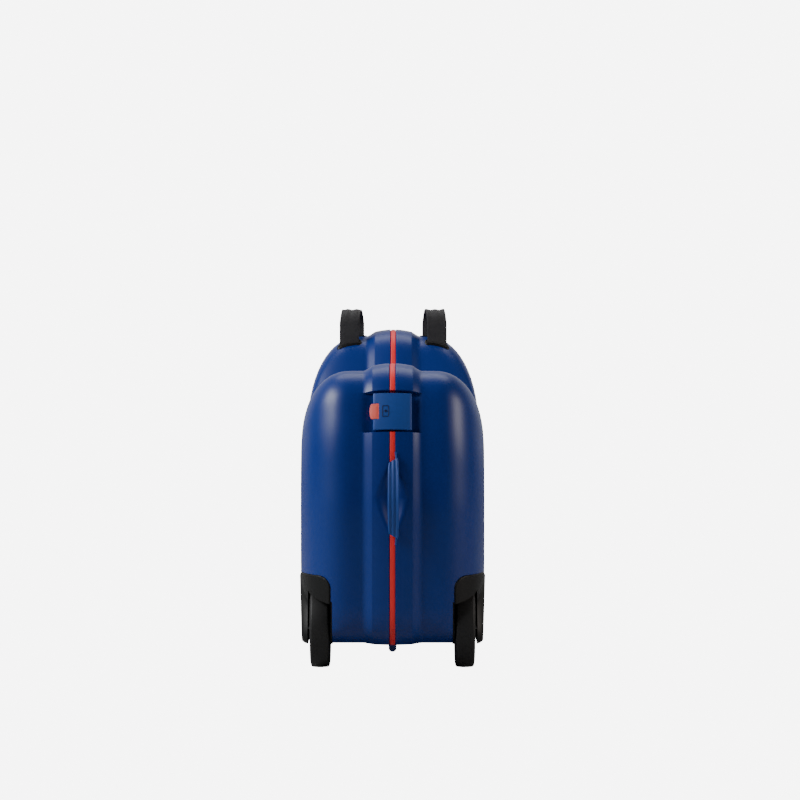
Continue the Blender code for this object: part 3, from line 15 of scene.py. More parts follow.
import bpy
import numpy as np
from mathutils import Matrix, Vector

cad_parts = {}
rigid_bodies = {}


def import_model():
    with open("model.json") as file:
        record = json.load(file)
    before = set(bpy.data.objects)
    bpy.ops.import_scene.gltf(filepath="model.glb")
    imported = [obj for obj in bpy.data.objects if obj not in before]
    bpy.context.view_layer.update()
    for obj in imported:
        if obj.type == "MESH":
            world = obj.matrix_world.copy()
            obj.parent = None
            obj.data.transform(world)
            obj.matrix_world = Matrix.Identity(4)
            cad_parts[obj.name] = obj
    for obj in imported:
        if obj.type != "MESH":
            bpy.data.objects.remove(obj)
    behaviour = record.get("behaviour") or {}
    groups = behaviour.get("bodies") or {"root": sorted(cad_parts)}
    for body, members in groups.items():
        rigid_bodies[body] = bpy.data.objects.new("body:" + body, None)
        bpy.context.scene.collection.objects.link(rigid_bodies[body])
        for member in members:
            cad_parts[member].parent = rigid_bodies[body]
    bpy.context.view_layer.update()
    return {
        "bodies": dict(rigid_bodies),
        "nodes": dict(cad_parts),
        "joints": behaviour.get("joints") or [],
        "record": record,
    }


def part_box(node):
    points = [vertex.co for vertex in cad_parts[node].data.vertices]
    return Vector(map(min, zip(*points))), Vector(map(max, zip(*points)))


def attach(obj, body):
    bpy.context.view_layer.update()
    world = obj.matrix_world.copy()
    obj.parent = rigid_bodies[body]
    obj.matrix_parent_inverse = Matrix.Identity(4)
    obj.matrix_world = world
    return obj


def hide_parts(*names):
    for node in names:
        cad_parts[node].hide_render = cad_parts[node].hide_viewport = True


Array = np.ndarray
Object = bpy.types.Object
Tree = bpy.types.NodeTree
Socket = bpy.types.NodeSocket
MM = 0.001
# Angle in degrees above which an edge isn't smoothed, where a piece names none of its own.
SHARP = 32
# Metres that rule a point out in a search for the nearest one, far more than the case measures.
FAR = 10
log = logging.getLogger("kids_suitcase")


class Side(Enum):
    """A side of the case. Its text is its name as the frame spells it."""

    def __str__(self) -> str:
        """The side's name in small letters."""
        return self.name.lower()


class Hand(Side):
    """Which half of the case a piece belongs to."""

    RIGHT = 1
    LEFT = -1


class End(Side):
    """Which end of the case a piece belongs to."""

    REAR = -1
    FRONT = 1


def ease(low: float, high: float, value: Array) -> Array:
    """Smooth step: 3t squared less 2t cubed, with t the share of the way from low to high.

    Args:
        low: Value at which the result leaves 0.
        high: Value at which the result reaches 1.
        value: Values to ease.

    Returns:
        Shares from 0 to 1.
    """
    t = np.clip((np.asarray(value, float) - low) / (high - low), 0, 1)
    return t * t * (3 - 2 * t)


def quarter(distance: Array, radius: float) -> Array:
    """Height share of a quarter circle: the square root of 1 - (1 - d / r) squared.

    Args:
        distance: Distance from the edge.
        radius: Radius of the rounding.

    Returns:
        0 at the edge, 1 from the radius on.
    """
    t = np.clip(np.asarray(distance, float) / radius, 0, 1)
    return np.sqrt(np.maximum(0, 1 - (1 - t) ** 2))


def power(value: Array, exponent: float) -> Array:
    """Raises the size of each value to a power and keeps its sign."""
    return np.sign(value) * np.abs(value) ** exponent


def unit(vectors: Array) -> Array:
    """Vectors divided by their lengths."""
    return vectors / np.linalg.norm(vectors, axis=-1, keepdims=True)


def steps(line: Array) -> Array:
    """Distance along a line at each of its points: the running sum of its segments' lengths."""
    return np.concatenate([[0], np.cumsum(np.linalg.norm(np.diff(line, axis=0), axis=1))])


def between(wanted: Array, known: Array, table: Array, period: float | None = None) -> Array:
    """Reads each column of a table between its rows, by straight lines.

    Args:
        wanted: Places to read at.
        known: Place of each row.
        table: The rows.
        period: Distance after which the places start again.

    Returns:
        One row for each wanted place.
    """
    return np.column_stack([np.interp(wanted, known, column, period=period) for column in table.T])


def gridded(*values: Array) -> Array:
    """Spreads values over one common grid and stacks them as the coordinates of its points."""
    return np.stack(np.broadcast_arrays(*values), -1)


def closed(line: Array) -> Array:
    """A line with its first point added at its end."""
    return np.concatenate([line, line[:1]])


def copies(outline: Array, values: tuple[float, ...], column: int) -> Array:
    """Loops from a flat outline: a copy for each value, which goes into the given column."""
    return np.array([np.insert(outline, column, value, axis=1) for value in values])


def linear(colour: str) -> tuple[float, float, float, float]:
    """Turns an sRGB hex colour to linear light.

    Args:
        colour: Six hex digits.

    Returns:
        Red, green, blue and an alpha of 1.
    """
    channels = [int(colour[i:i + 2], 16) / 255 for i in (0, 2, 4)]
    red, green, blue = (((c + 0.055) / 1.055) ** 2.4 if c > 0.04045 else c / 12.92 for c in channels)
    return red, green, blue, 1.0


def grid_faces(rows: int, columns: int, wrap: bool = False, first: int = 0) -> Array:
    """Quads between neighbouring rows and columns of a grid of points.

    Args:
        rows: Count of rows.
        columns: Count of columns.
        wrap: Whether the last column joins the first.
        first: Index of the grid's first point.

    Returns:
        One row of four indices for each quad.
    """
    r, c = np.meshgrid(np.arange(rows - 1), np.arange(columns if wrap else columns - 1), indexing="ij")
    d = (c + 1) % columns
    quads = np.stack([r * columns + c, r * columns + d, (r + 1) * columns + d, (r + 1) * columns + c], -1)
    return quads.reshape(-1, 4) + first


def signed_volume(points: Array, faces: list[list[int]]) -> float:
    """Volume inside a closed mesh: a sixth of the sum of a . (b x c) over its fan triangles.

    Args:
        points: Corner points.
        faces: Corner indices of each face.

    Returns:
        The volume, negative where the faces point in.
    """
    quads = np.array([f for f in faces if len(f) == 4])
    triangles = [quads[:, [0, 1, 2]], quads[:, [0, 2, 3]]] if len(quads) else []
    for face in faces:
        if len(face) != 4:
            line = np.array(face)
            triangles.append(np.column_stack([np.full(len(line) - 2, line[0]), line[1:-1], line[2:]]))
    a, b, c = (points[np.concatenate(triangles)[:, k]] for k in range(3))
    return float(np.einsum("ij,ij->i", a, np.cross(b, c)).sum() / 6)


@dataclass
class Draft:
    """Points and faces of a piece that is being put together from closed parts.

    Attributes:
        points: Point arrays of the parts so far.
        faces: Faces of all parts, as indices into all the points.
        places: Texture places of the points, where a pattern follows the surface.
    """

    points: list[Array] = field(default_factory=list)
    faces: list[list[int]] = field(default_factory=list)
    places: list[Array] = field(default_factory=list)

    def add(self, points: Array, faces: Array | list[list[int]], places: Array | None = None) -> Draft:
        """Adds a closed part and turns its faces outwards.

        Args:
            points: Its points, in any grid shape that ends in x, y, z.
            faces: Its faces.
            places: Texture places, two for each point.

        Returns:
            This draft.
        """
        flat = np.asarray(points, float).reshape(-1, 3)
        listed = [list(map(int, f)) for f in faces]
        if signed_volume(flat, listed) < 0:
            listed = [f[::-1] for f in listed]
        first = sum(len(p) for p in self.points)
        self.faces += [[first + i for i in f] for f in listed]
        self.points.append(flat)
        self.places.append(np.zeros((len(flat), 2)) if places is None else places.reshape(-1, 2))
        return self

    def build(self, name: str, sharp: float = SHARP) -> Object:
        """Makes the object.

        Args:
            name: Its name.
            sharp: Angle in degrees above which an edge isn't smoothed.

        Returns:
            The new object, at the origin.
        """
        mesh = bpy.data.meshes.new(name)
        mesh.from_pydata(np.concatenate(self.points).tolist(), [], self.faces)
        places = np.concatenate(self.places)
        if places.any():
            corners = np.zeros(len(mesh.loops), np.int32)
            mesh.loops.foreach_get("vertex_index", corners)
            layer = mesh.uv_layers.new(name="UVMap")
            layer.data.foreach_set("uv", places[corners].astype(np.float32).ravel())
        smooth(mesh, sharp)
        return show(name, mesh)


def show(name: str, data: bpy.types.ID) -> Object:
    """Puts new data into the scene as an object.

    Args:
        name: The object's name.
        data: Its mesh, camera or light.

    Returns:
        The object.
    """
    made = bpy.data.objects.new(name, data)
    bpy.context.scene.collection.objects.link(made)
    return made


def smooth(mesh: bpy.types.Mesh, sharp: float) -> None:
    """Shades a mesh smooth and keeps its sharp edges.

    Args:
        mesh: The mesh.
        sharp: Angle in degrees above which an edge isn't smoothed.
    """
    mesh.validate()
    mesh.shade_smooth()
    mesh.set_sharp_from_angle(angle=math.radians(sharp))


def tube(loops: Array) -> tuple[Array, list[list[int]]]:
    """Closes a stack of loops with a face at each end.

    Args:
        loops: Grid of points, each row one closed loop.

    Returns:
        The points and their faces.
    """
    rows, columns = loops.shape[:2]
    faces = grid_faces(rows, columns, True).tolist()
    faces += [list(range(columns))[::-1], list(range((rows - 1) * columns, rows * columns))]
    return loops.reshape(-1, 3), faces


def solid(name: str, *stacks: Array, sharp: float = SHARP) -> Object:
    """Builds a piece from stacks of loops, each closed with a face at both ends.

    Args:
        name: Its name.
        stacks: Grids of points, each row one closed loop.
        sharp: Angle in degrees above which an edge isn't smoothed.

    Returns:
        The new object.
    """
    draft = Draft()
    for loops in stacks:
        draft.add(*tube(loops))
    return draft.build(name, sharp)


def ring(loops: Array) -> tuple[Array, list[list[int]]]:
    """Closes a stack of loops on itself, the last loop to the first.

    Args:
        loops: Grid of points, each row one closed loop.

    Returns:
        The points and their faces.
    """
    rows, columns = loops.shape[:2]
    faces = grid_faces(rows + 1, columns, True) % (rows * columns)
    return loops.reshape(-1, 3), faces.tolist()


def sheet_solid(outer: Array, inner: Array) -> tuple[Array, list[list[int]]]:
    """Closes two sheets of the same grid along their four borders.

    Args:
        outer: Points of the outer sheet.
        inner: Points of the inner sheet.

    Returns:
        The points and their faces.
    """
    rows, columns = outer.shape[:2]
    half = rows * columns
    faces = grid_faces(rows, columns).tolist()
    faces += (grid_faces(rows, columns, first=half)[:, ::-1]).tolist()
    index = np.arange(half).reshape(rows, columns)
    border = np.concatenate([index[0], index[1:, -1], index[-1, -2::-1], index[-2:0:-1, 0]])
    ahead = np.roll(border, -1)
    faces += np.column_stack([ahead, border, border + half, ahead + half]).tolist()
    return np.concatenate([outer.reshape(-1, 3), inner.reshape(-1, 3)]), faces


def arc(centre: tuple[float, float], radius: float, start: float, end: float, count: int) -> Array:
    """Points on an arc: centre plus the radius times the cosine and sine of even angles.

    Args:
        centre: Centre of the arc.
        radius: Its radius.
        start: First angle in degrees.
        end: Last angle in degrees.
        count: Count of points.

    Returns:
        Two values for each point.
    """
    angle = np.radians(np.linspace(start, end, count))
    return np.column_stack([centre[0] + radius * np.cos(angle), centre[1] + radius * np.sin(angle)])


def rounded_box(half_u: float, half_v: float, radius: float, count: int = 6) -> Array:
    """Outline of a rectangle about the origin with its corners as arcs.

    Args:
        half_u: Half of the first size.
        half_v: Half of the second size.
        radius: Corner radius.
        count: Points of each corner.

    Returns:
        The outline, anticlockwise.
    """
    u, v = half_u - radius, half_v - radius
    corners = ((u, v, 0), (-u, v, 90), (-u, -v, 180), (u, -v, 270))
    return np.concatenate([arc((x, y), radius, a, a + 90, count) for x, y, a in corners])


def inset(outline: Array, distance: float) -> Array:
    """Moves a closed outline inwards: each point along the mean of its two edges' normals,
    over one plus their dot product.

    Args:
        outline: Points of the outline, anticlockwise.
        distance: Distance to move each edge.

    Returns:
        The moved outline.
    """
    ahead = np.roll(outline, -1, axis=0) - outline
    ahead /= np.maximum(np.linalg.norm(ahead, axis=1), 1e-12)[:, None]
    normal = np.column_stack([-ahead[:, 1], ahead[:, 0]])
    both = normal + np.roll(normal, 1, axis=0)
    scale = 1 + np.einsum("ij,ij->i", normal, np.roll(normal, 1, axis=0))
    return outline + distance * both / np.maximum(scale, 0.3)[:, None]


def slab(outline: Array, low: float, high: float, rounding: float, low_rounding: float | None = None,
         rings: int = 0) -> Array:
    """Stacks an outline into a slab with rounded edges: the outline moves in by r (1 - cos a)
    while its height falls by r (1 - sin a).

    Args:
        outline: Anticlockwise outline in the slab's first two axes.
        low: Height of its underside.
        high: Height of its top.
        rounding: Radius of the top edge.
        low_rounding: Radius of the lower edge, the same where it is left out.
        rings: Loops drawn in towards the middle of the top, for a top that is bent later.

    Returns:
        Loops of points, from the underside to the top.
    """
    under = rounding if low_rounding is None else low_rounding
    angles = np.radians([90, 60, 30, 0])
    levels = [(under * (1 - math.cos(a)), low + under * (1 - math.sin(a))) for a in angles]
    levels += [(rounding * (1 - math.cos(a)), high - rounding * (1 - math.sin(a))) for a in angles[::-1]]
    loops = [np.column_stack([inset(outline, d), np.full(len(outline), h)]) for d, h in levels]
    top = loops[-1]
    centre = top.mean(axis=0)
    loops += [centre + (top - centre) * (1 - k / (rings + 1)) for k in range(1, rings + 1)]
    return np.array(loops)


def lathe(profile: Array, segments: int, centre: Array, axis: str = "X") -> Array:
    """Turns a profile about an axis: each point's radius times the cosine and sine of even angles.

    Args:
        profile: Radius and height of each point.
        segments: Count of points around.
        centre: Where the profile's zero height lies.
        axis: The axis that it turns about, X or Z.

    Returns:
        Loops of points, one for each profile point.
    """
    angle = 2 * np.pi * np.arange(segments) / segments
    radius, height = np.asarray(profile, float).T
    around = radius[:, None] * np.cos(angle), radius[:, None] * np.sin(angle)
    along = np.repeat(height[:, None], segments, axis=1)
    parts = (along, *around) if axis == "X" else (*around, along)
    return np.stack(parts, axis=-1) + np.asarray(centre, float)


def prism(outline: Array, low: float, high: float, axis: str = "X") -> Object:
    """Makes a plain cutter from an outline in the other two axes.

    Args:
        outline: Its outline, Y and Z for the X axis or X and Z for the Y axis.
        low: First place along the axis.
        high: Last place along the axis.
        axis: X or Y.

    Returns:
        The cutter.
    """
    return solid("cutter", copies(outline, (low, high), "XY".index(axis)))


def block(low: Array, high: Array) -> Object:
    """Makes a plain box cutter between two corners."""
    (x0, y0, z0), (x1, y1, z1) = low, high
    return prism(np.array([(y0, z0), (y1, z0), (y1, z1), (y0, z1)]), x0, x1)


def tread(radius: float, flat: float, drop: float, shoulder: float, lean: float, turn: float, count: int,
          side: list[tuple[float, float]]) -> Array:
    """Profile of a tyre, mirrored about its middle: a crown that falls by its drop times the square
    of the share of the way out, a round shoulder, and the side.

    Args:
        radius: Radius in the middle of the tread.
        flat: Half width of the crown.
        drop: Fall of the crown.
        shoulder: Radius of the shoulder.
        lean: Share of that radius by which the shoulder reaches outwards.
        turn: Angle in degrees at which the shoulder ends.
        count: Points of the crown.
        side: Further points of one side, as radius and place across.

    Returns:
        Radius and place across of each point.
    """
    crown = [(radius - drop * t * t, flat * t) for t in np.linspace(-1, 1, count)]
    upper = [(radius - drop - shoulder * (1 - math.cos(a)), flat + shoulder * lean * math.sin(a))
             for a in np.radians(np.linspace(0, turn, 8))[1:]] + side
    return np.array([(r, -h) for r, h in reversed(upper)] + crown + upper)


def cloth_map(along: Array, around: Array) -> Array:
    """Texture places of a strap in metres: the way along it, then the way round its section."""
    return gridded(along[:, None] + MM, around[None] + MM)


def turned(name: str, profile: Array, segments: int, centre: Array) -> Object:
    """Builds a ring from a closed profile that is turned about X.

    Args:
        name: Its name.
        profile: Radius and place across of each point.
        segments: Count of points around.
        centre: Middle of the ring.

    Returns:
        The new object.
    """
    return Draft().add(*ring(lathe(profile, segments, centre))).build(name)


def placed(node: str) -> tuple[Array, Array]:
    """Middle and size of a node's box."""
    low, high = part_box(node)
    return np.array((low + high) / 2), np.array(high) - np.array(low)


def combine(target: Object, tools: list[Object], operation: str, sharp: float = SHARP) -> Object:
    """Applies one Boolean after another to a piece and removes the tools.

    Args:
        target: The piece.
        tools: Closed meshes.
        operation: DIFFERENCE, UNION or INTERSECT.
        sharp: Angle in degrees above which an edge isn't smoothed.

    Returns:
        The piece, with its mesh changed.
    """
    for tool in tools:
        modifier = target.modifiers.new("cut", "BOOLEAN")
        modifier.operation = operation
        modifier.solver = "MANIFOLD"
        modifier.object = tool
        graph = bpy.context.evaluated_depsgraph_get()
        mesh = bpy.data.meshes.new_from_object(target.evaluated_get(graph))
        target.modifiers.clear()
        target.data = mesh
        bpy.data.objects.remove(tool)
    target.data.name = target.name
    smooth(target.data, sharp)
    return target


def add_node(tree: Tree, kind: str, settings: dict | None = None,
             links: dict | None = None) -> bpy.types.Node:
    """Adds a node with its settings and links.

    Args:
        tree: Node tree of a material or the world.
        kind: The node's type name.
        settings: Values of its properties, or of its input sockets by name or number.
        links: Output sockets to join to its inputs, by name or number.

    Returns:
        The new node.
    """
    node = tree.nodes.new(kind)
    for key, value in (settings or {}).items():
        if isinstance(key, str) and hasattr(node, key):
            setattr(node, key, value)
        else:
            node.inputs[key].default_value = value
    for key, socket in (links or {}).items():
        tree.links.new(socket, node.inputs[key])
    return node


@dataclass(frozen=True)
class Finish:
    """A plain finish that the others build on.

    Attributes:
        name: What the material is and how it was made.
        slot: The record's material slot.
        colour: Its colour as sRGB hex.
        roughness: Roughness of the shader.
        grain: Size of the surface's grain.
        relief: Depth of the grain.
        drift: Share by which the roughness drifts over the piece.
        edge: Radius of the eased edges on a carried-over solid, 0 for none.
    """

    name: str
    slot: str
    colour: str
    roughness: float
    grain: float = 0.5 * MM
    relief: float = 0.01 * MM
    drift: float = 0.12
    edge: float = 0.0

    def shader_values(self) -> dict:
        """Values of the shader's own sockets beside colour and roughness."""
        return {"IOR": 1.48}

    def height(self, tree: Tree, place: Socket) -> Socket:
        """Height of the surface's grain from 0 to 1, here a fine even noise.

        Args:
            tree: The material's node tree.
            place: Where the pattern is read.

        Returns:
            The height.
        """
        noise = add_node(tree, "ShaderNodeTexNoise", {"Scale": 1 / self.grain, "Detail": 2.0},
                         {"Vector": place})
        return noise.outputs["Fac"]

    def tone(self, tree: Tree, place: Socket, height: Socket) -> Socket | None:
        """Colour of the surface where it isn't even, or None."""
        return None

    def blend(self, tree: Tree, share: Socket, other: str) -> Socket:
        """Mixes the finish's own colour with another.

        Args:
            tree: The material's node tree.
            share: Share of the other colour.
            other: The other colour as sRGB hex.

        Returns:
            The mixed colour.
        """
        mix = add_node(tree, "ShaderNodeMix", {"data_type": "RGBA", 6: linear(self.colour), 7: linear(other)},
                       {"Factor": share})
        return mix.outputs[2]

    def place(self, tree: Tree) -> Socket:
        """Where the pattern is read: the piece's own Object coordinates."""
        return add_node(tree, "ShaderNodeTexCoord").outputs["Object"]

    def material(self) -> bpy.types.Material:
        """Builds the material, unless it was built before.

        Returns:
            The material.
        """
        known = bpy.data.materials.get(self.name)
        if known is not None:
            return known
        material = bpy.data.materials.new(self.name)
        material.use_nodes = True
        tree = material.node_tree
        shader = tree.nodes["Principled BSDF"]
        shader.inputs["Base Color"].default_value = linear(self.colour)
        for key, value in self.shader_values().items():
            shader.inputs[key].default_value = value
        place = self.place(tree)
        height = self.height(tree, place)
        tone = self.tone(tree, place, height)
        if tone is not None:
            tree.links.new(tone, shader.inputs["Base Color"])
        broad = add_node(tree, "ShaderNodeTexNoise", {"Scale": 1 / (60 * MM), "Detail": 3.0},
                         {"Vector": add_node(tree, "ShaderNodeTexCoord").outputs["Object"]})
        rough = add_node(tree, "ShaderNodeMapRange", {
            "To Min": self.roughness * (1 - self.drift), "To Max": self.roughness * (1 + self.drift)},
            {"Value": broad.outputs["Fac"]})
        tree.links.new(rough.outputs["Result"], shader.inputs["Roughness"])
        bump = add_node(tree, "ShaderNodeBump", {"Strength": 1.0, "Distance": self.relief},
                        {"Height": height})
        if self.edge:
            eased = add_node(tree, "ShaderNodeBevel", {"samples": 4, "Radius": self.edge})
            tree.links.new(eased.outputs["Normal"], bump.inputs["Normal"])
        tree.links.new(bump.outputs["Normal"], shader.inputs["Normal"])
        return material


@dataclass(frozen=True)
class Moulding(Finish):
    """Injection moulded polypropylene: a spark-eroded mould leaves a satin skin whose
    colour lightens by a trace in its faint flow marks."""

    flow: str = "0B3470"

    def tone(self, tree: Tree, place: Socket, height: Socket) -> Socket | None:
        """A slow drift between the colour and the flow marks' colour.

        Args:
            tree: The material's node tree.
            place: Where the pattern is read.
            height: Height of the grain, not used here.

        Returns:
            The colour.
        """
        slow = add_node(tree, "ShaderNodeTexNoise",
                        {"Scale": 1 / (90 * MM), "Detail": 2.0, "Distortion": 0.6}, {"Vector": place})
        share = add_node(tree, "ShaderNodeMapRange", {"From Min": 0.35, "From Max": 0.75, "To Max": 0.35},
                         {"Value": slow.outputs["Fac"]})
        return self.blend(tree, share.outputs["Result"], self.flow)


@dataclass(frozen=True)
class Grained(Finish):
    """Moulding with an etched leather grain: small rounded cells that scatter the light."""

    def shader_values(self) -> dict:
        """The grain's pits shade each other, which the lower IOR stands for."""
        return {"IOR": 1.36}

    def height(self, tree: Tree, place: Socket) -> Socket:
        """Cells of a Voronoi pattern, low between them."""
        cells = add_node(tree, "ShaderNodeTexVoronoi", {"Scale": 1 / self.grain}, {"Vector": place})
        return cells.outputs["Distance"]


@dataclass(frozen=True)
class Metal(Finish):
    """Zinc plated steel: a bright skin with a fine and slightly cloudy grain."""

    def shader_values(self) -> dict:
        """Metal, with the default IOR."""
        return {"Metallic": 1.0}


@dataclass(frozen=True)
class Woven(Finish):
    """Polyester webbing: ribs of thick yarn across the strap, crossed by the warp in a
    herringbone. The threads are drawn at twice their real width so that they show."""

    # Colour of the threads' tops; the plain colour stays in the hollows between them as painted shade.
    light: str = "3A3A3E"

    def place(self, tree: Tree) -> Socket:
        """The strap's own map: length first and width second, both in metres."""
        return add_node(tree, "ShaderNodeUVMap", {"uv_map": "UVMap"}).outputs["UV"]

    def height(self, tree: Tree, place: Socket) -> Socket:
        """Ribs along the length times yarns across it, each the size of a sine.

        Args:
            tree: The material's node tree.
            place: Where the pattern is read.

        Returns:
            The height.
        """
        parts = add_node(tree, "ShaderNodeSeparateXYZ", None, {"Vector": place})
        waves = []
        for socket, pitch in (("X", 1.5 * self.grain), ("Y", self.grain)):
            turn = add_node(tree, "ShaderNodeMath", {"operation": "MULTIPLY", 1: 2 * math.pi / pitch},
                            {0: parts.outputs[socket]})
            wave = add_node(tree, "ShaderNodeMath", {"operation": "SINE"}, {0: turn.outputs[0]})
            waves.append(add_node(tree, "ShaderNodeMath", {"operation": "ABSOLUTE"}, {0: wave.outputs[0]}))
        both = add_node(tree, "ShaderNodeMath", {"operation": "MULTIPLY"},
                        {0: waves[0].outputs[0], 1: waves[1].outputs[0]})
        return both.outputs[0]

    def tone(self, tree: Tree, place: Socket, height: Socket) -> Socket | None:
        """Painted shade: dark in the hollows between the threads, lighter on top of them."""
        return self.blend(tree, height, self.light)

    def shader_values(self) -> dict:
        """A soft sheen from the yarn's loose fibres."""
        return {"IOR": 1.45, "Sheen Weight": 0.15, "Sheen Roughness": 0.5}


BLUE = Moulding("satin blue polypropylene", "shell_blue", "002C7E", 0.38, 0.45 * MM, 0.006 * MM,
                flow="013188")
BLUE_TRIM = Moulding("fine blue polypropylene", "shell_blue", "184698", 0.55, 0.5 * MM, 0.03 * MM,
                     edge=0.35 * MM, flow="2050A4")
# Dark blue of the latch mark: painted shade, standing in for the shadow in its lines.
SHADED_MARK_BLUE = Moulding("dark blue pad print", "shell_blue", "031640", 0.5, 0.4 * MM, 0.004 * MM, flow="04194A")
CORAL_SEAL = Finish("coral elastomer seal", "coral", "FF3236", 0.5, 0.6 * MM, 0.006 * MM)
CORAL_BUTTON = Finish("coral acetal button", "coral", "FF6E62", 0.5, 0.5 * MM, 0.004 * MM)
BLACK = Grained("black grained polypropylene", "black_plastic", "0B0C0D", 0.5, 0.55 * MM, 0.02 * MM)
BLACK_TRIM = Grained("black fine polypropylene", "black_plastic", "0F1011", 0.45, 0.4 * MM, 0.01 * MM,
                     edge=0.4 * MM)
RUBBER = Finish("thermoplastic rubber", "rubber", "1A1A1B", 0.6, 0.35 * MM, 0.02 * MM, 0.08)
STEEL = Metal("zinc plated steel", "steel", "A9ABAE", 0.32, 0.3 * MM, 0.004 * MM)
# Webbing and lining are darker in the hollows between their threads, as painted shade.
WEBBING = Woven("woven polyester webbing", "webbing", "161618", 0.72, 0.9 * MM, 0.12 * MM, 0.05)
LINING = Woven("knitted lining mesh", "mesh", "23262C", 0.8, 1.6 * MM, 0.2 * MM, 0.05, light="555B68")


def dress(piece: Object, finish: Finish, body: str, *nodes: str) -> Object:
    """Gives a new piece its finish, its body and the nodes that it stands for.

    Args:
        piece: The piece, in place.
        finish: Its finish.
        body: Body that it rides on.
        nodes: Nodes that it replaces.

    Returns:
        The piece.
    """
    piece.data.materials.clear()
    piece.data.materials.append(finish.material())
    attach(piece, body)
    if nodes:
        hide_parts(*nodes)
    log.info("%s: %d faces on %s", piece.name, len(piece.data.polygons), body)
    return piece


def dress_node(frame: dict, node: str, finish: Finish) -> None:
    """Gives a solid that is kept from the frame its finish.

    Args:
        node: Name of the solid.
        finish: Its finish.
    """
    kept = frame["nodes"][node]
    for place in kept.material_slots:
        place.material = finish.material()
    log.info("%s: kept from the frame", node)


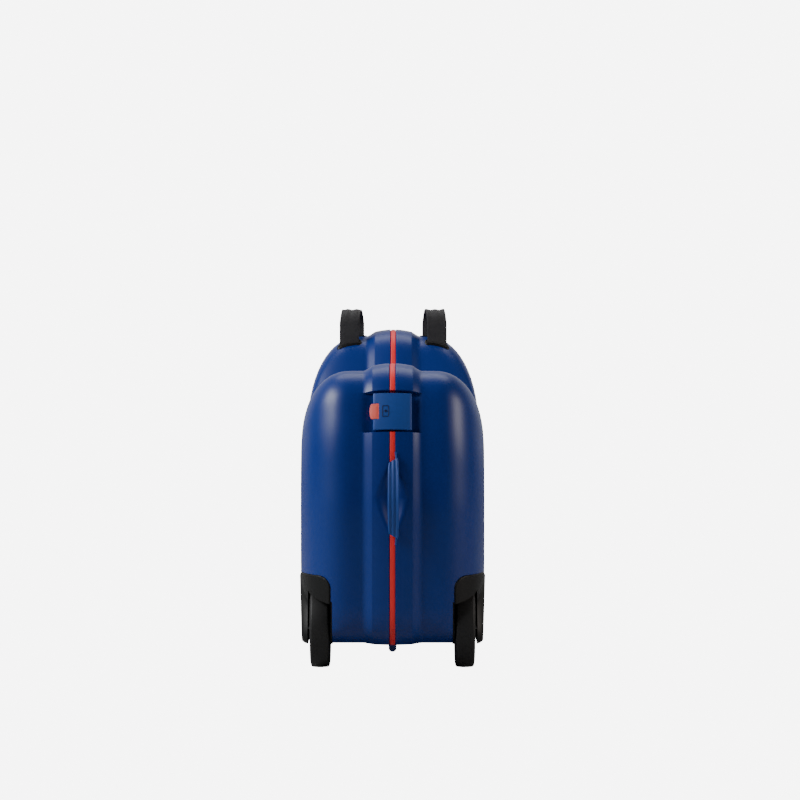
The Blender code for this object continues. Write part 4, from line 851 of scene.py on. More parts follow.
@dataclass
class CaseForm:
    """The form that both half shells share: a rim curve in the YZ plane, and the surface
    that rounds out from it to a flat side panel.

    The curve is a polygon with filleted corners, smoothed by a Gaussian along its length.
    """

    half_width: float = 105 * MM
    end_reach: float = 246 * MM
    floor: float = 29 * MM
    rear_crest: float = 335 * MM
    front_crest: float = 372 * MM
    saddle: float = 264 * MM
    saddle_place: float = -20 * MM
    bulge_height: float = 185 * MM
    low_corner: float = 36 * MM
    rear_corner: float = 46 * MM
    front_corner: float = 60 * MM
    smoothing: float = 7 * MM
    wall: float = 2.8 * MM
    rim_gap: float = 3.4 * MM
    rim_rounding: float = 0.7 * MM
    rib_height: float = 8.5 * MM
    rib_height_under: float = 2.5 * MM
    rib_arch: float = 2.8 * MM
    rib_crease: float = 22.5 * MM
    rib_foot: float = 34 * MM
    flank_slope: float = -0.5
    rounding_reach: float = 58 * MM
    rounding_reach_front: float = 65 * MM
    rounding_reach_under: float = 30 * MM
    under_rounding: float = 22 * MM
    under_loss: float = 3 * MM
    under_drop: float = 0.0
    panel_loss: float = 0.15 * MM
    panel_length_share: float = 0.59
    panel_height_share: float = 0.38
    panel_centre: float = 175 * MM
    corner_power: float = 2.2
    handle_centre: float = 194 * MM
    scoop_half_height: float = 48 * MM
    scoop_half_width: float = 20.7 * MM
    scoop_depth: float = 6.5 * MM
    latch_low: float = 266.5 * MM
    latch_high: float = 309.5 * MM
    latch_floor: float = -2 * MM
    notch_rounding: float = 0.6 * MM
    notch_blend: tuple[float, float] = (3 * MM, 12 * MM)
    notch_fade: tuple[float, float] = (0.66, 1.06)
    scoop_outline: float = 1.15
    scoop_power: float = 2.2
    scoop_normal: float = 0.8
    rounding_share: float = 0.92
    flat_shares: tuple[float, ...] = (0.35, 0.7, 1.0)
    even_columns: int = 430
    fillet_share: float = 0.47
    under_height: float = 100 * MM
    face_normal: float = 0.6
    face_share: float = 0.7
    floor_normal: float = 0.9

    def __post_init__(self) -> None:
        """Walks the rim curve from the middle of the floor over the rear end and both humps."""
        points = self.smoothed(self.rounded(self.corners(), MM), MM)
        upper = points[:, 1] > self.under_height
        start = int(np.argmin(np.abs(points[:, 0]) + FAR * upper))
        self.points = np.roll(points, -start, axis=0)
        self.reach = steps(closed(self.points))
        self.length = float(self.reach[-1])
        ahead = unit(np.roll(self.points, -1, axis=0) - np.roll(self.points, 1, axis=0))
        self.normals = np.column_stack([-ahead[:, 1], ahead[:, 0]])

    def corners(self) -> list[tuple[float, float, float]]:
        """Lists the corner points of the side view, from the middle of the floor over the rear end.

        Returns:
            y, z and fillet radius of each corner.
        """
        end, saddle, shoulder = self.end_reach, self.saddle_place, self.latch_low - 6 * MM
        return [
            (0, self.floor, 0),
            (-end + 3 * MM, self.floor, self.low_corner),
            (-end, self.bulge_height, end),
            (-end + 5.5 * MM, shoulder, end),
            (-end + 29 * MM, self.rear_crest + 8 * MM, self.rear_corner),
            (-0.46 * end, self.rear_crest - 17 * MM, 0.2 * end),
            (saddle - 20 * MM, self.saddle, 0.28 * end),
            (saddle + 38 * MM, self.saddle + 2 * MM, 0.24 * end),
            (0.36 * end, self.front_crest, 0.17 * end),
            (0.585 * end, self.front_crest + 4 * MM, end),
            (end - 20 * MM, self.front_crest - 7 * MM, self.front_corner),
            (end - 5.5 * MM, shoulder, end),
            (end, self.bulge_height, end),
            (end - 3 * MM, self.floor, self.low_corner),
        ]

    def rounded(self, corners: list[tuple[float, float, float]], step: float) -> Array:
        """Replaces each corner by its fillet arc, then spaces the points evenly.

        Args:
            corners: Corner points with their radii.
            step: Distance between points.

        Returns:
            Points along the closed curve.
        """
        pieces = []
        count = len(corners)
        for i, (y, z, radius) in enumerate(corners):
            here = np.array([y, z])
            back = np.array(corners[i - 1][:2]) - here
            ahead = np.array(corners[(i + 1) % count][:2]) - here
            back_length, ahead_length = np.linalg.norm(back), np.linalg.norm(ahead)
            back, ahead = back / back_length, ahead / ahead_length
            turn = math.pi - math.acos(float(np.clip(back @ ahead, -1, 1)))
            if radius == 0 or turn < 1e-6:
                pieces.append(here[None])
                continue
            longest = self.fillet_share * min(back_length, ahead_length)
            tangent = min(radius * math.tan(turn / 2), longest)
            radius = tangent / math.tan(turn / 2)
            bisector = (back + ahead) / np.linalg.norm(back + ahead)
            centre = here + bisector * math.hypot(radius, tangent)
            first, last = here + back * tangent - centre, here + ahead * tangent - centre
            t = np.linspace(0, 1, max(3, int(radius * turn / step) + 1))[:, None]
            mix = np.sin((1 - t) * turn) * first + np.sin(t * turn) * last
            pieces.append(centre + mix / math.sin(turn))
        line = closed(np.concatenate(pieces))
        reach = steps(line)
        return between(np.arange(0, reach[-1], step), reach, line)

    def smoothed(self, points: Array, step: float) -> Array:
        """Rounds off changes of curvature: the Gaussian mean of each point's neighbours.

        Args:
            points: Points of the closed curve.
            step: Distance between points.

        Returns:
            As many points.
        """
        reach = int(4 * self.smoothing / step)
        offsets = np.arange(-reach, reach + 1)
        weights = np.exp(-0.5 * (offsets * step / self.smoothing) ** 2)
        weights /= weights.sum()
        return sum(w * np.roll(points, -k, axis=0) for k, w in zip(offsets, weights))

    def at(self, reach: Array) -> tuple[Array, Array]:
        """Points and outward normals of the rim curve, read between its points.

        Args:
            reach: Distances along the curve.

        Returns:
            y and z of each point, and of each normal.
        """
        wrapped = np.mod(np.asarray(reach, float), self.length)
        points, normals = (between(wrapped, self.reach[:-1], table, self.length)
                           for table in (self.points, self.normals))
        return points, unit(normals)

    def reach_at_height(self, height: float, end: End) -> float:
        """Distance along the curve at which an end face has a height.

        Args:
            height: Height over the ground.
            end: The end.

        Returns:
            The distance.
        """
        y, z = self.points.T
        steep = np.abs(self.normals[:, 0]) > self.face_normal
        face = (y * end.value > 0) & steep & (np.abs(y) > self.face_share * self.end_reach)
        return float(self.reach[int(np.argmin(np.abs(z - height) + FAR * ~face))])

    def reach_under(self, y: float) -> float:
        """Distance along the curve to a place on the floor."""
        floor = self.normals[:, 1] < -self.floor_normal
        return float(self.reach[int(np.argmin(np.abs(self.points[:, 0] - y) + FAR * ~floor))])

    def latch_span(self, end: End) -> tuple[float, float]:
        """Stretch of the rim curve that a latch takes."""
        low, high = (self.reach_at_height(h, end) for h in (self.latch_low, self.latch_high))
        return min(low, high), max(low, high)

    def columns(self) -> Array:
        """Places the columns: evenly, and closer together at the edges of the latch notches and
        over the finger scoops.

        Returns:
            Distances along the curve.
        """
        special = []
        for end in End:
            for edge, out in zip(self.latch_span(end), (-1, 1)):
                special.append(edge + out * NOTCH_COLUMNS)
            special.append(self.reach_at_height(self.handle_centre, end) + SCOOP_COLUMNS)
        special = np.concatenate(special)
        even = np.linspace(0, self.length, self.even_columns, endpoint=False)
        clear = np.abs(even[:, None] - special[None]).min(axis=1) > 1.2 * MM
        return np.sort(np.concatenate([even[clear], special]))

    def relief(self, across: Array, reach: Array, notched: bool) -> Array:
        """Height over the plain surface: the rib's arch, its flank as a cubic from the crease's
        slope to a level foot, the finger scoop as (1 - x squared) to the power 2.2 inside a diamond,
        and the latch notch.

        Args:
            across: Places across the case.
            reach: Distances along the rim curve.
            notched: True for the sharp notch of the outer skin, False for the eased inner one.

        Returns:
            One row for each place across, one column for each distance.
        """
        points, normals = self.at(reach)
        under = self.under_share(normals)[None]
        height = self.rib_height * (1 - under) + self.rib_height_under * under
        x = np.abs(np.asarray(across, float))[:, None]
        arch = 1 - self.rib_arch / self.rib_height * (x / self.rib_crease) ** 2
        crest = 1 - self.rib_arch / self.rib_height
        span = self.rib_foot - self.rib_crease
        t = np.clip((x - self.rib_crease) / span, 0, 1)
        lean = self.flank_slope * span / self.rib_height
        flank = crest * (2 * t ** 3 - 3 * t ** 2 + 1) + lean * (t ** 3 - 2 * t ** 2 + t)
        relief = height * np.where(x < self.rib_crease, arch, flank)
        rise = np.abs(points[:, 1] - self.handle_centre) / self.scoop_half_height
        ends = np.abs(normals[:, 0]) > self.scoop_normal
        half = self.scoop_half_width * np.clip(1 - rise ** self.scoop_outline, 1e-6, 1)[None]
        scoop = self.scoop_depth * np.clip(1 - (x / half) ** 2, 0, 1) ** self.scoop_power * ends[None]
        relief = relief - scoop * ease(0, 0.9, half / self.scoop_half_width)
        floor = self.latch_floor * (1 - ease(*(share * self.rib_foot for share in self.notch_fade), x))
        for end in End:
            low, high = self.latch_span(end)
            away = np.maximum(0, np.maximum(low - reach, reach - high))
            inside = 1 - (quarter(away, self.notch_rounding) if notched else ease(*self.notch_blend, away))
            relief = relief * (1 - inside)[None] + floor * inside[None]
        if notched:
            edge = x - self.rim_gap
            relief = relief - self.rim_rounding * (1 - quarter(edge, self.rim_rounding))
        return relief

    @staticmethod
    def under_share(normals: Array) -> Array:
        """Share of the underside in a place, from how far its normal points down."""
        return ease(0.35, 0.95, -normals[:, 1])

    def surface(self, reach: Array, ribs: Array, angles: Array) -> tuple[Array, Array]:
        """The plain surface and its normals. Beyond the flat it is a superellipse: x grows with
        sin a to the power 2/p while the rim point moves towards the panel by 1 - cos a to 2/p.

        Args:
            reach: Distances along the rim curve, one for each column.
            ribs: Places across for the rows up to the rib's foot.
            angles: Angles in degrees of the rows of the rounding.

        Returns:
            Points and normals as grids of rows and columns.
        """
        rim, normals = self.at(reach)
        under = self.under_share(normals)
        rim[:, 1] -= self.under_drop * under
        front = ease(20 * MM, 90 * MM, rim[:, 0]) * ease(0.1, 0.8, normals[:, 1])
        inner = self.rounding_reach + (self.rounding_reach_front - self.rounding_reach) * front
        flat = self.half_width - (inner * (1 - under) + self.rounding_reach_under * under)
        panel = np.column_stack([
            self.panel_length_share * rim[:, 0],
            self.panel_centre + self.panel_height_share * (rim[:, 1] - self.panel_centre)])
        depth = np.linalg.norm(panel - rim, axis=1)
        rounding = self.rounding_share * depth * (1 - under) + self.under_rounding * under
        full = self.half_width - self.under_loss * under - self.panel_loss
        rows = [np.column_stack([np.full(len(rim), x), rim]) for x in ribs]
        for share in self.flat_shares:
            rows.append(np.column_stack([self.rib_foot + (flat - self.rib_foot) * share, rim]))
        for degrees in angles:
            angle = math.radians(degrees)
            inward = (1 - max(0.0, math.cos(angle)) ** (2 / self.corner_power)) * rounding / depth
            x = flat + (full - flat) * math.sin(angle) ** (2 / self.corner_power)
            rows.append(np.column_stack([x, rim + (panel - rim) * inward[:, None]]))
        rows.append(np.column_stack([np.full(len(rim), self.half_width), panel]))
        grid = np.array(rows)
        around = np.roll(grid, -1, axis=1) - np.roll(grid, 1, axis=1)
        outward = np.gradient(grid, axis=0)
        made = unit(np.cross(outward, around))
        straight = len(ribs) + 2
        made[:straight, :, 0] = 0
        made[:straight, :, 1:] = normals[None]
        made[-1] = (1, 0, 0)
        return grid, made

    def body(self, distance: float, hand: Hand) -> Object:
        """Makes a solid half of the plain form as a tool.

        Args:
            distance: Distance by which its surface is moved outwards.
            hand: Which half.

        Returns:
            The tool.
        """
        reach = np.linspace(0, self.length, 260, endpoint=False)
        points, normals = self.surface(reach, np.array([self.rim_gap, self.rib_foot]), ROUNDING_ANGLES)
        return solid("form", (points + normals * distance) * (hand.value, 1, 1))


RIB_ROWS = np.concatenate([[3.4, 3.5, 3.7, 4.1], np.arange(5, 22, 1.0), [22, 22.5, 22.9, 23.6, 24.6, 25.8],
                           [27.2, 28.8, 30.4, 32, 33.2, 34]]) * MM
ROUNDING_ANGLES = np.array([4, 8, 12.5, 17.5, 23, 29, 35, 41, 47, 53, 59, 65, 71, 77, 83, 90])
NOTCH_COLUMNS = np.array([-1.5, -0.5, 0, 0.03, 0.12, 0.25, 0.42, 0.65, 1.2, 2.2]) * MM
SCOOP_COLUMNS = np.arange(-42, 43) * 1.2 * MM


class FaceFrame:
    """Axes on an end face: x across, v up the face and n outwards."""

    def __init__(self, form: CaseForm, reach: float, end: End) -> None:
        """Reads the rim curve.

        Args:
            form: The case's form.
            reach: Distance along the rim curve.
            end: The end that the face is on.
        """
        points, normals = form.at([reach])
        y, z = normals[0]
        self.origin = np.array([0, *points[0]])
        self.up = np.array([0, z, -y]) * -end.value
        self.out = np.array([0, y, z])

    def world(self, points: Array) -> Array:
        """Turns points of x, v and n to the case's axes: the origin plus each value times its axis."""
        x, v, n = np.moveaxis(np.asarray(points, float), -1, 0)
        return self.origin + x[..., None] * (1, 0, 0) + v[..., None] * self.up + n[..., None] * self.out

    def bar(self, outline: Array, low: float, high: float, rounding: float) -> Array:
        """Loops of a slab that runs up the face.

        Args:
            outline: Its outline in x and n.
            low: Lower end.
            high: Upper end.
            rounding: Radius of its end edges.

        Returns:
            The loops in the case's axes.
        """
        return self.world(slab(outline, low, high, rounding)[..., [0, 2, 1]])


@dataclass
class WheelCorner:
    """A rear wheel with its black housing, axle and cap, in a lower rear corner.

    Attributes:
        form: The case's form.
        hand: The side.
    """

    form: CaseForm
    hand: Hand
    guard_form: CaseForm = field(default_factory=lambda: CaseForm(
        under_drop=1.5 * MM, under_rounding=7 * MM, under_loss=4.5 * MM))
    guard_radius: float = 61 * MM
    guard_corner: float = 14 * MM
    proud: float = 1.3 * MM
    edge_rounding: float = 1.4 * MM
    guard_lap: float = 0.5 * MM
    well_inner: float = 69.3 * MM
    well_outer: float = 94.8 * MM
    well_radius: float = 50.5 * MM
    well_wall: float = 2.0 * MM
    visor_angle: float = 107
    visor_reach: float = 26 * MM
    visor_rise: float = 39.2 * MM
    visor_slope: float = 0.4
    gap: float = 0.3 * MM
    beyond: float = 300 * MM
    spokes: int = 6
    spoke_half: float = 3.2 * MM
    boss: float = 8 * MM
    skin_start: float = 62 * MM
    skin_top: float = 112 * MM
    skin_columns: int = 220
    skin_rows: int = 56
    row_crowding: float = 0.93
    fine_points: int = 1200
    least_points: int = 6

    def __post_init__(self) -> None:
        """Reads the places and sizes of wheel, cap and axle from the frame."""
        self.centre, size = placed(f"rear_tyre_{self.hand}")
        self.radius, self.width = size[2] / 2, size[0]
        low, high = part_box(f"axle_cap_{self.hand}")
        self.cap_radius, self.cap_span = (high.z - low.z) / 2, (low.x, high.x)
        self.axle_radius = placed(f"rear_axle_{self.hand}")[1][2] / 2
        self.axis = (0, *self.centre[1:])

    def guard_cutter(self, spread: float) -> Object:
        """Block of the guard: level on top, round in front of the wheel, with its top inner
        corner rounded.

        Args:
            spread: Distance by which it is grown.

        Returns:
            The block.
        """
        y, z = self.centre[1:]
        far, side = self.beyond, self.hand.value
        radius, corner = self.guard_radius + spread, self.guard_corner + spread
        inner = self.well_inner - self.guard_lap - spread
        outline = np.concatenate([arc((y, z), radius, 0, 90, 40), [
            (-far, z + radius), (-far, -MM), (y + radius, -MM)]])
        face = np.concatenate([arc((inner + corner, z + radius - corner), corner, 90, 180, 20), [
            (inner, -2 * MM), (far + MM, -2 * MM), (far + MM, z + radius)]])
        across = prism(face * (side, 1), -far - MM, 0, axis="Y")
        return combine(prism(outline, *sorted((side * (inner - MM), side * far))), [across], "INTERSECT")

    def from_edge(self, points: Array) -> Array:
        """Distance of points from the guard's border, negative outside it: the least of the
        distances to the inner edge, the rounded corner, the top and the round front.

        Args:
            points: Points on the right side.

        Returns:
            One distance for each point.
        """
        x, y, z = points.T
        centre_y, centre_z = self.centre[1:]
        inner, top = self.well_inner - self.guard_lap, centre_z + self.guard_radius
        over = np.where(y < centre_y, top - z, self.guard_radius - np.hypot(y - centre_y, z - centre_z))
        over = np.where((y > centre_y) & (z < centre_z), centre_y + self.guard_radius - y, over)
        edge = np.minimum(x - inner, over)
        corner = self.guard_corner
        u, v = inner + corner - x, z - (top - corner)
        rounded = corner - np.hypot(np.maximum(u, 0), np.maximum(v, 0))
        return np.where((u > 0) & (v > 0), np.minimum(edge, rounded), edge)

    def well_cutter(self, spread: float) -> Object:
        """The space around the wheel: an arch, then a visor that falls to the rear.

        Args:
            spread: Distance by which it is grown. Where it isn't 0, the space is open outwards.

        Returns:
            The block.
        """
        y, z = self.centre[1:]
        far, side, radius = self.beyond, self.hand.value, self.well_radius + spread
        visor_y, visor_z = y - self.visor_reach, z + self.visor_rise + spread
        end = visor_z - self.visor_slope * (far + visor_y)
        outline = np.concatenate([arc((y, z), radius, 0, self.visor_angle, 40), [
            (visor_y, visor_z), (-far, end), (-far, -2 * MM), (y + radius, -2 * MM)]])
        outer = far if spread else self.well_outer
        return prism(outline, *sorted((side * (self.well_inner - spread), side * outer)))

    def skin(self) -> tuple[Array, Array]:
        """Lays the guard's skin over the form, one column of points after another. Its outer
        sheet is proud of the form, and falls to it as a quarter circle at the border.

        Returns:
            The outer and the inner sheet, on the right side.
        """
        form = self.guard_form
        bottom = form.reach_under(self.centre[1] + self.skin_start)
        top = form.reach_at_height(self.skin_top, End.REAR)
        ribs = np.array([form.rim_gap, form.rib_foot])
        grid, normals = form.surface(np.linspace(bottom, top, self.skin_columns), ribs, np.arange(2, 91, 2.5))
        share = np.linspace(0, 1, self.skin_rows)
        share = share - self.row_crowding * np.sin(2 * np.pi * share) / (2 * np.pi)
        outer_columns, inner_columns = [], []
        for points, ways in zip(grid.transpose(1, 0, 2), normals.transpose(1, 0, 2)):
            along = steps(points)
            fine = np.linspace(0, along[-1], self.fine_points)
            inside = np.flatnonzero(self.from_edge(between(fine, along, points)) > 0)
            if len(inside) < self.least_points:
                continue
            start, end = fine[inside[0]], fine[inside[-1]]
            places = start + (end - start) * share
            here, way = between(places, along, points), unit(between(places, along, ways))
            rise = (self.proud + self.gap) * quarter(self.from_edge(here), self.edge_rounding) - self.gap
            outer_columns.append(here + way * rise[:, None])
            inner_columns.append(here - way * form.wall)
        return np.array(outer_columns), np.array(inner_columns)

    def housing(self) -> None:
        """The guard's skin, the walls around the wheel, and the bores for axle and cap."""
        side = self.hand.value
        outer, inner = (sheet * (side, 1, 1) for sheet in self.skin())
        piece = Draft().add(*sheet_solid(outer, inner)).build(f"wheel_housing_{self.hand}")
        walls = self.guard_form.body(-self.gap, self.hand)
        combine(walls, [self.well_cutter(self.well_wall)], "INTERSECT")
        combine(piece, [walls], "UNION")
        combine(piece, [self.well_cutter(0)], "DIFFERENCE")
        bores = []
        for radius, start in ((self.axle_radius, self.well_inner - 3 * self.well_wall),
                              (self.cap_radius, min(map(abs, self.cap_span)) - self.gap)):
            profile = np.array([(radius + self.gap, side * x) for x in (start, self.beyond)])
            bores.append(solid("bore", lathe(profile, 48, self.axis)))
        combine(piece, bores, "DIFFERENCE", 38)
        dress(piece, BLACK, f"{self.hand}_half", f"rear_housing_{self.hand}")

    def cap(self) -> None:
        """Domed cap over the axle's end, with an eased rim."""
        out, radius = self.hand.value, self.cap_radius
        inner, outer = self.cap_span[::out]
        dome = ((1, -0.5), (0.93, -0.1), (0.7, 0.15), (0.35, 0.3), (0.02, 0.32))
        profile = [(0.02 * radius, inner), (radius, inner)]
        profile += [(share * radius, outer + out * rise * MM) for share, rise in dome]
        piece = solid(f"wheel_cap_{self.hand}", lathe(np.array(profile), 40, self.axis))
        dress(piece, BLACK_TRIM, f"{self.hand}_half", f"axle_cap_{self.hand}")

    def tyre(self) -> None:
        """Tyre with bulged sides, rounded shoulders and a tread that is crowned by half a millimetre."""
        half, radius, shoulder = self.width / 2, self.radius, 3.4 * MM
        inner = radius - 9 * MM
        side = [(radius - 6 * MM, half), (inner + MM, half - 0.5 * MM), (inner, half - 1.1 * MM)]
        profile = tread(radius, half - shoulder, 0.5 * MM, shoulder, 0.86, 80, 15, side)
        piece = turned(f"wheel_tyre_{self.hand}", profile, 128, self.centre)
        dress(piece, RUBBER, f"rear_wheel_{self.hand}", f"rear_tyre_{self.hand}")

    def hub(self) -> None:
        """Hub with a dished web, a rim lip and a boss, and raised spokes on both faces."""
        rim, boss, bore = self.radius - 9.2 * MM, self.boss, self.axle_radius + 0.2 * MM
        half = self.width / 2 + 0.3 * MM
        side = [(bore, half), (boss - MM, half), (boss, half - 0.6 * MM), (boss + 0.8 * MM, 4 * MM),
                (boss + 2.5 * MM, 2.2 * MM), (rim - 6 * MM, 2.2 * MM), (rim - 3.6 * MM, 3.4 * MM),
                (rim - 3.2 * MM, half - 3 * MM), (rim - 2.6 * MM, half - 2.4 * MM),
                (rim - 0.4 * MM, half - 2.4 * MM), (rim, half - 2.8 * MM)]
        profile = np.array([(r, -h) for r, h in side] + side[::-1])
        draft = Draft().add(*ring(lathe(profile, 96, self.centre)))
        outline = rounded_box(self.spoke_half, (rim - boss - 2 * MM) / 2, 1.2 * MM, 4)
        across, along, rise = np.moveaxis(slab(outline, 1.5 * MM, 5.5 * MM, 0.8 * MM, 0.1 * MM), -1, 0)
        along = along + (rim + boss) / 2 - MM
        for face in (-1, 1):
            for angle in 2 * np.pi * np.arange(self.spokes) / self.spokes:
                y = along * math.cos(angle) - across * math.sin(angle)
                z = along * math.sin(angle) + across * math.cos(angle)
                draft.add(*tube(np.stack([face * rise, y, z], -1) + self.centre))
        piece = draft.build(f"wheel_hub_{self.hand}")
        dress(piece, BLACK_TRIM, f"rear_wheel_{self.hand}", f"rear_hub_{self.hand}")

    def build(self) -> None:
        """Builds and dresses every piece of the corner."""
        self.housing()
        self.cap()
        self.tyre()
        self.hub()


@dataclass
class HalfShell:
    """One moulded half of the case.

    Attributes:
        form: The case's form.
        corner: The wheel corner that is let into it.
        cup_spread: Running gap around the caster's socket.
    """

    form: CaseForm
    corner: WheelCorner
    cup_spread: float = 0.3 * MM
    slot_spread: float = 0.8 * MM

    def build(self) -> None:
        """Builds the outer and inner skin and cuts the places of the fittings."""
        form, corner, hand = self.form, self.corner, self.corner.hand
        reach = form.columns()
        grid, normals = form.surface(reach, RIB_ROWS, ROUNDING_ANGLES)
        relief = np.zeros((2, *grid.shape[:2]))
        for k, notched in enumerate((True, False)):
            relief[k, :len(RIB_ROWS)] = form.relief(RIB_ROWS, reach, notched)
        outer = grid + normals * relief[0][..., None]
        inner = grid + normals * (relief[1] - form.wall)[..., None]
        piece = solid(f"{hand}_moulding", np.concatenate([inner[::-1], outer]) * (hand.value, 1, 1))
        tools = [corner.guard_cutter(corner.gap - 0.1 * MM),
                 corner.well_cutter(corner.well_wall + corner.gap), *self.fitting_cutters()]
        combine(piece, tools, "DIFFERENCE", 12)
        dress(piece, BLUE, f"{hand}_half", f"{hand}_shell")

    def fitting_cutters(self) -> list[Object]:
        """Makes the tools for the caster socket's hole and the two slots of the webbing loop.

        Returns:
            The tools.
        """
        hand = self.corner.hand
        low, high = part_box(f"caster_socket_{hand}")
        centre = ((low.x + high.x) / 2, (low.y + high.y) / 2, 0)
        radius = (high.x - low.x) / 2 + self.cup_spread
        foot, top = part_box(f"caster_fork_{hand}")[0].z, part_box(f"caster_clip_{hand}")[0].z
        profile = np.array([(radius, foot - MM), (radius, top - 24 * MM)])
        tools = [solid("socket", lathe(profile, 72, centre, "Z"))]
        loop = WebbingLoop(self.form, hand)
        half_x, half_y = loop.width / 2 + self.slot_spread, loop.thickness / 2 + self.slot_spread
        low, high = loop.top - 75 * MM, loop.top
        for x, y in loop.legs():
            x *= hand.value
            tools.append(block((x - half_x, y - half_y, low), (x + half_x, y + half_y, high)))
        return tools


@dataclass
class SealBand:
    """Coral seal in the seam: a rounded bead on a wider foot that closes the seam, with a lip
    behind the right shell's rim.

    Attributes:
        form: The case's form.
    """

    form: CaseForm
    left: float = -2.9 * MM
    right: float = 3.3 * MM
    foot: float = -3.35 * MM
    set_back: float = 0.25 * MM
    bead: float = 1.3 * MM
    lip: float = 7 * MM
    lip_thickness: float = 1.4 * MM

    def build(self) -> None:
        """Carries the bead's outline along the rim curve, from one end of the hinge to the other."""
        form = self.form
        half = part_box("hinge_leaf_right")[1].y + 2 * MM
        start, end = form.reach_under(-half), form.reach_under(half)
        reach = form.columns()
        reach = np.concatenate([[start], reach[(reach > start) & (reach < end)], [end]])
        points, normals = form.at(reach)
        top = form.relief([5 * MM], reach, True)[0] + 0.2 * MM - self.set_back
        seat = np.minimum(*form.relief([form.rim_gap, self.lip], reach, False)) - form.wall - 0.3 * MM
        middle, wide = (self.left + self.right) / 2, (self.right - self.left) / 2
        angle = np.radians(np.linspace(0, 180, 15))
        bead_x = middle + wide * power(np.cos(angle), 0.6)
        bead_n = -self.bead * (1 - np.sin(angle) ** 0.8)
        across = np.concatenate([bead_x, [self.foot, self.foot, self.lip, self.lip, self.right]])
        step = top[:, None] - self.bead - 0.4 * MM
        depth = seat[:, None] - np.array([self.lip_thickness, self.lip_thickness, 0, 0])[None]
        height = np.concatenate([top[:, None] + bead_n[None], step, depth], axis=1)
        y, z = (points[:, k, None] + normals[:, k, None] * height for k in (0, 1))
        dress(solid("seam_seal", gridded(across[None], y, z)), CORAL_SEAL, "right_half", "seal_band")


@dataclass
class Hinge:
    """Hinge along the underside, its knuckles turned by the pin.

    Attributes:
        form: The case's form.
    """

    form: CaseForm
    height: float = 22 * MM
    radius: float = 4.5 * MM
    corner: float = 1.2 * MM
    knuckles: int = 7
    knuckle_gap: float = 0.5 * MM
    thickness: float = 2 * MM
    from_middle: float = 0.6 * MM
    reach: float = 18 * MM
    block_rise: float = 6 * MM
    web_rise: float = 5 * MM
    over_floor: float = 0.3 * MM

    def lengthwise(self, loops: Array) -> Array:
        """Turns loops that are stacked along Z to lie along Y, at the pin's height."""
        return loops[..., [0, 2, 1]] + (0, 0, self.height)

    def leaf(self, hand: Hand) -> None:
        """Builds a leaf: rounded knuckles, a web up the seam and a flange on the shell's floor.

        Args:
            hand: The half that it is fixed to.
        """
        side = (hand.value, 1, 1)
        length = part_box("hinge_leaf_right")[1].y
        pitch, half_gap = 2 * length / self.knuckles, self.knuckle_gap / 2
        first = 0 if hand is Hand.RIGHT else 1
        stacks = []
        for k in range(first, self.knuckles, 2):
            low = -length + k * pitch + (half_gap if k else 0)
            high = -length + (k + 1) * pitch - (half_gap if k < self.knuckles - 1 else 0)
            stacks.append(self.knuckle(low, high))
        floor = self.form.floor + self.form.wall + self.over_floor
        x0, x1 = self.from_middle, self.from_middle + self.thickness
        z0, z1 = self.height + self.web_rise, floor + self.thickness / 2
        reach = length - first * pitch
        web = copies(np.array([(x0, z0), (x1, z0), (x1, z1), (x0, z1)]), (-reach, reach), 1)
        half = (self.reach - self.from_middle) / 2
        flange = slab(rounded_box(half, length, 2 * MM), floor, floor + self.thickness, 0.4 * MM)
        stacks += [web * side, (flange + (self.from_middle + half, 0, 0)) * side]
        piece = solid(f"underside_leaf_{hand}", *stacks, sharp=30)
        dress(piece, BLUE, f"{hand}_half", f"hinge_leaf_{hand}")

    def knuckle(self, low: float, high: float) -> Array:
        """Loops of a knuckle along Y: half a circle under the pin and straight sides above it,
        with both ends eased as a quarter circle.

        Args:
            low: Its first place along Y.
            high: Its last place along Y.

        Returns:
            Loops of points.
        """
        r, top, c = self.radius, self.block_rise, self.corner
        outline = np.concatenate([arc((0, 0), r, 180, 360, 25), arc((r - c, top - c), c, 0, 90, 4),
                                  arc((c - r, top - c), c, 90, 180, 4)])
        return self.lengthwise(slab(outline, low, high, 0.5 * MM))

    def rod(self) -> None:
        """Steel rod with domed ends, closed in by the outermost knuckles."""
        low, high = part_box("hinge_pin")
        radius, half = (high.x - low.x) / 2, high.y - 3 * MM
        end = [(radius * math.cos(a), half + radius * math.sin(a)) for a in np.radians(np.linspace(0, 84, 6))]
        profile = np.array([(r, -h) for r, h in reversed(end)] + end)
        loops = self.lengthwise(lathe(profile, 24, (0, 0, 0), "Z"))
        dress(solid("hinge_rod", loops), STEEL, "right_half", "hinge_pin")

    def build(self) -> None:
        """Builds both leaves and the rod."""
        for hand in Hand:
            self.leaf(hand)
        self.rod()


